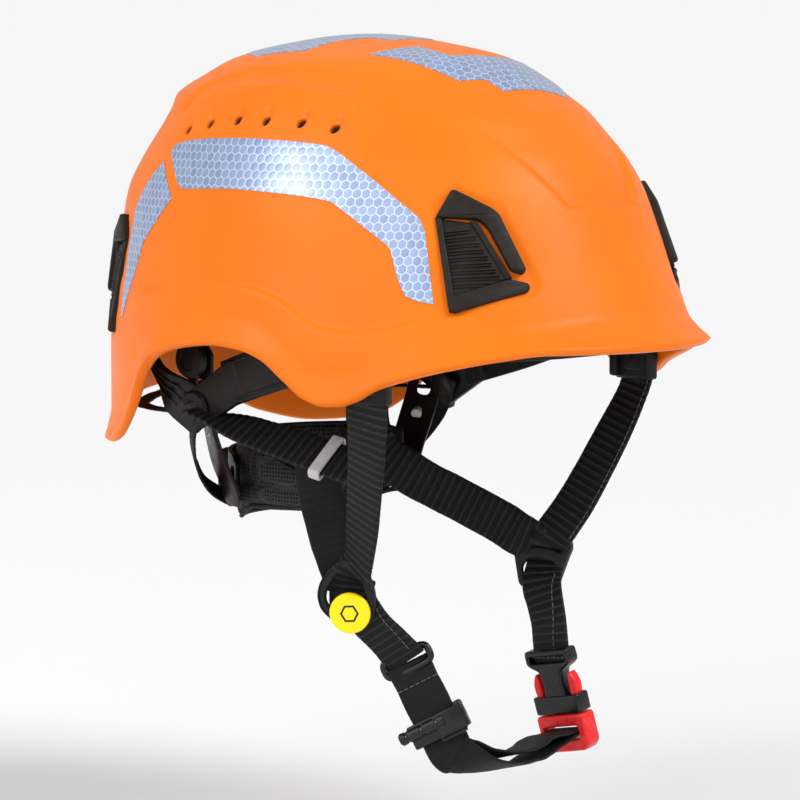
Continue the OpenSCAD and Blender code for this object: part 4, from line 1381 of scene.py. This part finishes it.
def inflate(mesh, pressure, cap, voxel):
    """Swells a closed blank with the cloth solver, no point moving further than cap."""
    obj = linked("blank", mesh)
    remesh = obj.modifiers.new("remesh", "REMESH")
    remesh.mode = "VOXEL"
    remesh.voxel_size = voxel * MM
    even = baked(obj)
    start = np.array([v.co for v in even.vertices])
    soft = linked("soft", even)
    cloth = soft.modifiers.new("cloth", "CLOTH").settings
    cloth.quality, cloth.mass = 6, 0.3
    cloth.tension_stiffness, cloth.bending_stiffness = 12, 1.5
    cloth.use_pressure, cloth.uniform_pressure_force = True, pressure
    cloth.effector_weights.gravity = 0
    for step in range(1, CLOTH_STEPS + 1):
        bpy.context.scene.frame_set(step)
    swollen = baked(soft)
    bpy.context.scene.frame_set(1)
    move = np.array([v.co for v in swollen.vertices]) - start
    far = np.linalg.norm(move, axis=1, keepdims=True)
    move *= np.minimum(1, cap * MM / np.maximum(far, 1e-9))
    swollen.vertices.foreach_set("co", (start + move).ravel())
    return finished_pad(swollen)


def finished_pad(mesh):
    """One round of subdivision over the pad."""
    obj = linked("smooth", mesh)
    obj.modifiers.new("smooth", "SUBSURF").levels = 1
    result = baked(obj)
    result.shade_smooth()
    return result


def pressed(mesh, lines, width, depth, wrap_back):
    """Sews channels: points near a line, in flat pad places, sink towards the pad's middle."""
    def go(p):
        flat, normal = wrap_back(p)
        sink = np.zeros(len(p))
        for line in lines:
            poly = np.asarray(line, float)
            for a, b in zip(poly[:-1], poly[1:]):
                ab = b - a
                t = np.clip(((flat - a) @ ab) / (ab @ ab), 0, 1)
                d = np.linalg.norm(flat - a - t[:, None] * ab, axis=1)
                sink = np.maximum(sink, ease(1 - d / width))
        return p - normal * (sink * depth)[:, None]
    return remapped(mesh, go)


def make_nape_pad():
    radius = CRADLE_RADIUS + PAD_THICK / 2
    reach = radius * math.radians(75)
    near = -radius * math.pi / 2 - LOOSE_END

    def height(u):
        t, loose = abs(u) / reach, ease((-u - reach) / (-near - reach))
        return (PAD_LOW + 3 + 7 * ease((t - 0.55) / 0.45) * (1 - loose) + 8 * loose,
                PAD_HIGH - 2.5 - 2.5 * ease((t - 0.8) / 0.2) - 9 * loose)

    def back(p):
        away = np.stack([p[:, 0], np.maximum(p[:, 1] - CRADLE_Y, 0)], 1)
        r = np.linalg.norm(away, axis=1)
        flat = np.stack([(math.pi / 2 - np.arctan2(away[:, 1], away[:, 0])) * radius, p[:, 2]], 1)
        out = away / r[:, None] * np.sign(r - radius)[:, None]
        return flat, np.column_stack([out, np.zeros(len(p))])
    blank = pillow("nape", wrap_round(radius), height, near, reach, PAD_THICK - 2)
    pad = inflate(blank, 3.5, 2.2, 2.6)
    channels = [[(s * x, PAD_LOW + 6), (s * (x - 3), PAD_HIGH - 6)] for s in (-1, 1)
                for x in (12, 36)]
    channels.append([(near + 12, -70), (reach - 8, -70)])
    pad = pressed(pad, channels, 3.2, 1.3, back)
    obj = piece("nape_cushion", pad, PAINT["mesh"], "cradle", ["nape_pad"])
    border = [(u, height(u)[edge], 0) for edge, ends in ((0, (near, reach)), (1, (reach, near)))
              for u in np.linspace(*ends, 70)]
    line = wrap_round(radius)(np.array(border))
    piping = tube(resample(np.vstack([line, line[:1]]), 260)[:-1], 1.15, 8, closed=True)
    piece("nape_piping", piping, PAINT["piping"], "cradle")


def make_brow_pad():
    strip = band_strip(48, 4.6, 20)
    half = strip.length / 2

    def wrap(p):
        return strip.point(p[:, 0] + half, p[:, 1], p[:, 2])
    blank = pillow("brow", wrap, lambda u: (-7.6, 7.6), 1.5 - half, half - 1.5, 4)
    pad = inflate(blank, 3, 1.6, 2.4)
    obj = piece("brow_cushion", pad, PAINT["mesh"], "helmet", ["brow_pad"])


def make_crown_pad():
    top, curve, radius, centre = 98.4, 60, 38, STATIONS[0][3]

    def dome(p):
        reach = np.hypot(p[:, 0], p[:, 1])
        tilt = np.arcsin(np.clip(reach / curve, -1, 1))
        r = curve - 3 + p[:, 2]
        safe = np.maximum(reach, 1e-6)
        return np.stack([p[:, 0] / safe * r * np.sin(tilt), centre + p[:, 1] / safe * r
                         * np.sin(tilt), top - curve + r * np.cos(tilt)], 1)

    def star(a):
        return radius - 3 - 4.5 * (0.5 - 0.5 * math.cos(6 * a))
    outline = [(star(a) * math.cos(a), star(a) * math.sin(a))
               for a in np.linspace(0, 2 * math.pi, 96, endpoint=False)]
    blank = plate(outline, (), -1.8, 1.8, 0.8)
    with editing(blank) as cells:
        bmesh.ops.triangulate(cells, faces=cells.faces)
    flat = inflate(blank, 3, 2, 2)
    obj = piece("crown_cushion", remapped(flat, dome), PAINT["mesh"], "helmet",
                ["crown_pad"])


make_nape_pad()
make_brow_pad()
make_crown_pad()

# ---------------------------------------------------------------- dividers and their caps
DIVIDER_RIGHT = ((-62, -25, -109), (0.5, -0.86, 0), (-0.1, 0, 1))
DIVIDER_LEFT = ((62, -25, -106), (0.3, -0.94, 0), (0.15, 0, 1))
CAP_RADIUS, DIVIDER_THICK = 8.6, 3.6
CAP_DROP = 9
UPRIGHT = Matrix.Rotation(math.pi / 2, 4, "X")
RIGHT_OUTLINE = [(-1, 13), (5, 11.6), (8.4, 8), (10.6, 0), (11, -6.8), (9, -13), (4, -15.8),
                 (-4, -15.4), (-8.5, -12), (-12.8, -7.6), (-14, -1.4), (-12.2, 4.4), (-8.6, 8.6),
                 (-5, 11.6)]
RIGHT_WINDOW = [(-1.6, 9.6), (2.8, 8.8), (5.2, 4.6), (7.2, -5.4), (6, -9.4), (-6, -9.2),
                (-9, -7), (-10.6, -3.6), (-9.6, 0.8), (-6.6, 5), (-4.2, 8)]
LEFT_OUTLINE = [(-14.3, 4.5), (-12.5, 9), (-6, 7.8), (0, 8), (7, 8.2), (12.5, 10), (14.3, 5),
                (12.6, 0), (9, -13), (6, -14.8), (-6, -14.8), (-9, -13), (-12.6, 0)]
LEFT_SLOT = [(-11, 5), (-9.4, 1.2), (-5, 3.4), (0, 4), (5, 3.6), (9, 2.2), (11, 5.4), (8, 7),
             (0, 6.8), (-8, 6.6)]
LEFT_MOUTH = [(-7.8, -9), (-8.6, -5), (-6, -1.8), (0, -0.6), (6, -1.8), (9, -5), (8.4, -9)]


def make_dividers():
    half = DIVIDER_THICK / 2
    right = [plate(rounded(RIGHT_OUTLINE, 3), [rounded(RIGHT_WINDOW, 2)], -half, half, 1.2, 3),
             plate(rounded(RIGHT_OUTLINE, 3), [rounded([(x * 0.93 - 0.2, y * 0.93) for x, y
                                                        in RIGHT_OUTLINE], 3)],
                   half - 0.6, half + 0.5, 0.4)]
    mesh = moved(joined("divider", right), frame_at(*DIVIDER_RIGHT) @ UPRIGHT)
    piece("side_divider_right", mesh, PAINT["divider"], "helmet",
          ["divider_right"])
    screw = turned([(0.01, 0), (1.4, 0), (1.4, 0.7), (1, 1), (0.01, 1)], 24)
    dots = [shifted(turned([(0.01, 0), (0.45, 0), (0.4, 0.3), (0.01, 0.35)], 12),
                    x, 1.9 - 0.035 * x * x, half - 0.15) for x in (-6, -3, 0, 3, 6)]
    left = [plate(rounded(LEFT_OUTLINE, 2), [rounded(LEFT_SLOT, 1), rounded(LEFT_MOUTH, 2)],
                  -half, half, 0.9, 3), shifted(screw, 11, 0.6, half - 0.4)]
    mesh = moved(joined("divider", left + dots), frame_at(*DIVIDER_LEFT) @ UPRIGHT)
    piece("side_divider_left", mesh, PAINT["divider"], "helmet",
          ["divider_left"])


def make_caps():
    """A domed cap with a plain socket-head ring printed on it."""
    profile = [(0.01, 0), (8.2, 0), (CAP_RADIUS, 0.5), (CAP_RADIUS, 1.7), (8.2, 2.2), (7, 2.45),
               (0.01, 2.6)]
    hexagon = [(math.cos(a), math.sin(a)) for a in np.radians(np.arange(0, 360, 60))]
    for (at, x_dir, z_dir), out, hand in ((DIVIDER_RIGHT, 1, "right"), (DIVIDER_LEFT, -1, "left")):
        place = (frame_at(at, x_dir, z_dir) @ Matrix.Translation((0, 0, -CAP_DROP))
                 @ Matrix.Rotation(out * math.pi / 2, 4, "X")
                 @ Matrix.Translation((0, 0, DIVIDER_THICK / 2 + 0.3)))
        piece("divider_button_" + hand, moved(turned(profile, 72), place), PAINT["yellow"],
              "helmet", ["divider_cap_" + hand])
        ring = plate([(4.0 * x, 4.0 * y) for x, y in hexagon],
                     [[(3.1 * x, 3.1 * y) for x, y in hexagon]], 2.4, 2.66, 0.05, 1)
        piece("button_mark_" + hand, moved(ring, place), PAINT["ink"], "helmet")


make_dividers()
make_caps()


# ---------------------------------------------------------------- keeper, ring and ladder lock
def frame_link(half_x, half_y, thick, half_z, bevel):
    """A flat rectangular sleeve round a strap that runs along z."""
    outer = box_outline(-half_x, -half_y, half_x, half_y, min(half_y, 2.4))
    ix, iy = half_x - thick, half_y - thick
    hole = box_outline(-ix, -iy, ix, iy, min(iy, 0.8))
    return plate(outer, [hole], -half_z, half_z, bevel, 2)


def make_keeper():
    sleeve = frame_link(WEB / 2 + 2.2, WEB_THICK / 2 + 1.8, 1.3, 2.6, 0.5)
    ribs = [block((-WEB / 2 - 1, s * (WEB_THICK / 2 + 1.5) - 0.35, z - 0.45),
                  (WEB / 2 + 1, s * (WEB_THICK / 2 + 1.5) + 0.35, z + 0.45), 0.25, 1)
            for s in (-1, 1) for z in (-1.9, 1.9)]
    mesh = moved(joined("keeper", [sleeve] + ribs), frame_at(KEEPER_AT, KEEPER_ACROSS, REAR_RUN))
    piece("strap_slider", mesh, PAINT["grey"], "keeper", ["strap_keeper"])


def make_ring():
    half = WEB / 2 + 2.5
    loop = []
    for a in np.linspace(0, 2 * math.pi, 72, endpoint=False):
        c, s = math.cos(a), math.sin(a)
        loop.append((math.copysign(abs(c) ** 0.35, c) * (half - 1.5), 0,
                     math.copysign(abs(s) ** 0.6, s) * 3.9))
    mesh = moved(tube(loop, 1.55, 12, closed=True),
                 frame_at(RING_AT, (0.45, -0.8, 0.4), LOCK_RUN))
    piece("chin_link", mesh, PAINT["gloss"], "helmet", ["chin_ring"])


def make_lock():
    """The ladder lock: a sleeve round the strap, a grooved bar, a side block and a tongue."""
    half = WEB / 2
    bar = [(0.01, 0)]
    for z in np.linspace(0, 21, 64):
        groove = 0.45 * max(0, math.cos(2 * math.pi * (z - 3.5) / 7)) ** 10
        bar.append((2.7 - groove - (0.7 if z < 0.4 or z > 20.6 else 0), z))
    bar.append((0.01, 21))
    roller = moved(turned(bar, 32), Matrix.Translation((-half - 7.5, -3.4, 1))
                   @ Matrix.Rotation(math.pi / 2, 4, "Y"))
    body = plate(box_outline(-half - 3.2, -3.4, half + 3.2, 4.8, 1.6),
                 [box_outline(-half - 0.7, -1.6, half + 0.7, 3.2, 0.5)], -5.6, 4.6, 0.8, 2)
    cheek = block((half - 0.2, -3.4, -1.5), (half + 3.4, 3.4, 6), 0.9, 3)
    tongue = moved(block((-1, -1, -6.5), (half + 2, 1.2, 4.5), 0.8, 2),
                   Matrix.Translation((0, -4, 0)) @ Matrix.Rotation(0.12, 4, "X"))
    edge = shifted(block((-0.5, -0.5, -7.4), (half + 1.5, 0.5, -6.2), 0.3, 1), y=-4.8)
    mesh = moved(joined("lock", [roller, body, cheek, tongue, edge]),
                 frame_at(LOCK_AT, LOCK_ACROSS, LOCK_RUN))
    piece("ladder_adjuster", mesh, PAINT["gloss"], "lock", ["ladder_lock"])


make_keeper()
make_ring()
make_lock()

# ---------------------------------------------------------------- side-release buckle
HALF_BUCKLE = 12.5
BUCKLE = frame_at(BUCKLE_AT, BUCKLE_ACROSS, BUCKLE_RUN)
SOCKET_OUTLINE = [(-11.9, 28.4), (11.9, 28.4), (12.2, 22.4), (9.6, 20.4), (6.4, 19), (5.2, 16),
                  (5, 12.5), (5.6, 9.6), (5.8, 7), (5.8, 4), (-5.8, 4), (-5.8, 7), (-5.6, 9.6),
                  (-5, 12.5), (-5.2, 16), (-6.4, 19), (-9.6, 20.4), (-12.2, 22.4)]


def make_socket():
    body = plate(rounded(SOCKET_OUTLINE, 1.5, 5), [box_outline(-9.9, 22.8, 9.9, 25.8, 0.7)],
                 -3.7, 3.7, 1.1, 3)
    body = moved(body, UPRIGHT)
    lip = box_outline(-HALF_BUCKLE, -4.5, HALF_BUCKLE, 4.5, 2)
    mouth = box_outline(-10.9, -2.9, 10.9, 2.9, 1)
    collar = plate(lip, [mouth], 0, 8, 0.8, 3)
    mesh = moved(joined("socket", [body, collar]), BUCKLE)
    piece("buckle_body", mesh, PAINT["gloss"], "helmet", ["buckle_socket"])


def make_plug():
    half = HALF_BUCKLE + 0.4
    outline = rounded([(-half, -15.5), (-half + 2, -17), (half - 3, -17), (half, -14), (half, -1.6),
                       (half - 1, -0.6), (-half + 1, -0.6), (-half, -1.6)], 1.2)
    hole = box_outline(-10.4, -11.4, 8.4, -5.8, 1)
    body = moved(plate(outline, [hole], -4.4, 4.4, 1.1, 3), UPRIGHT)
    guide = block((-2.5, -1.1, -1), (2.5, 1.1, 16), 0.4)
    piece("buckle_tab", moved(joined("plug", [body, guide]), BUCKLE), PAINT["red"], "plug",
          ["buckle_plug"])


def make_prongs():
    outline = [(7.8, -0.4), (9.8, -0.4), (10.4, 3), (10.5, 6), (11.6, 9.6), (11.7, 13),
               (10.6, 16.2), (9.5, 17.8), (8.5, 17.4), (7.9, 14.6), (7.7, 6)]
    for side, body, where in ((1, "prong_f", "front"), (-1, "prong_b", "back")):
        mesh = moved(plate(rounded(outline, 1.2), (), -2.5, 2.5, 0.9, 3), UPRIGHT)
        piece("release_prong_" + where, moved(to_side(mesh, side), BUCKLE), PAINT["red"], body,
              ["prong_" + where])


make_socket()
make_plug()
make_prongs()

# ---------------------------------------------------------------- CAD nodes that stay
for node, paint in (("liner", "foam"), ("knob_pinion", "pale"), ("rack_left", "black"),
                    ("rack_right", "black")):
    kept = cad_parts[node]
    for material_slot in kept.material_slots:
        material_slot.material = PAINT[paint]


# ---------------------------------------------------------------- stage and lights
FLOOR_Z, FLOOR_HALF, LIGHT_DISTANCE = -222, 150000, 1600


def add_light(name, kind, azimuth, elevation, energy, **settings):
    light = bpy.data.lights.new(name, kind)
    light.energy = energy
    for key, value in settings.items():
        setattr(light, key, value)
    obj = linked(name, light)
    back = direction(math.radians(azimuth), math.radians(elevation))
    obj.location = (VIEW_TARGET + back * LIGHT_DISTANCE) * MM
    obj.rotation_euler = back.to_track_quat("Z", "Y").to_euler()


def make_stage():
    corners = [(x * FLOOR_HALF, y * FLOOR_HALF, FLOOR_Z)
               for x, y in ((-1, -1), (1, -1), (1, 1), (-1, 1))]
    mesh = mesh_of("floor", corners, [(0, 1, 2, 3)], smooth=False)
    mesh.materials.append(Paint("floor", (0.86, 0.86, 0.86), 0.75).material)
    floor = linked("floor", mesh)
    world = bpy.data.worlds.new("studio")
    world.use_nodes = True
    background = world.node_tree.nodes["Background"]
    background.inputs["Color"].default_value = (1, 1, 1, 1)
    background.inputs["Strength"].default_value = 0.55
    bpy.context.scene.world = world
    add_light("key", "SUN", 8, 46, 1.85, angle=math.radians(30))
    add_light("fill", "SUN", -95, 28, 0.95, angle=math.radians(55))
    add_light("film_glint", "AREA", -117, 34, 3.2, shape="DISK", size=0.42)
    bpy.context.scene.view_settings.view_transform = "Standard"


make_stage()
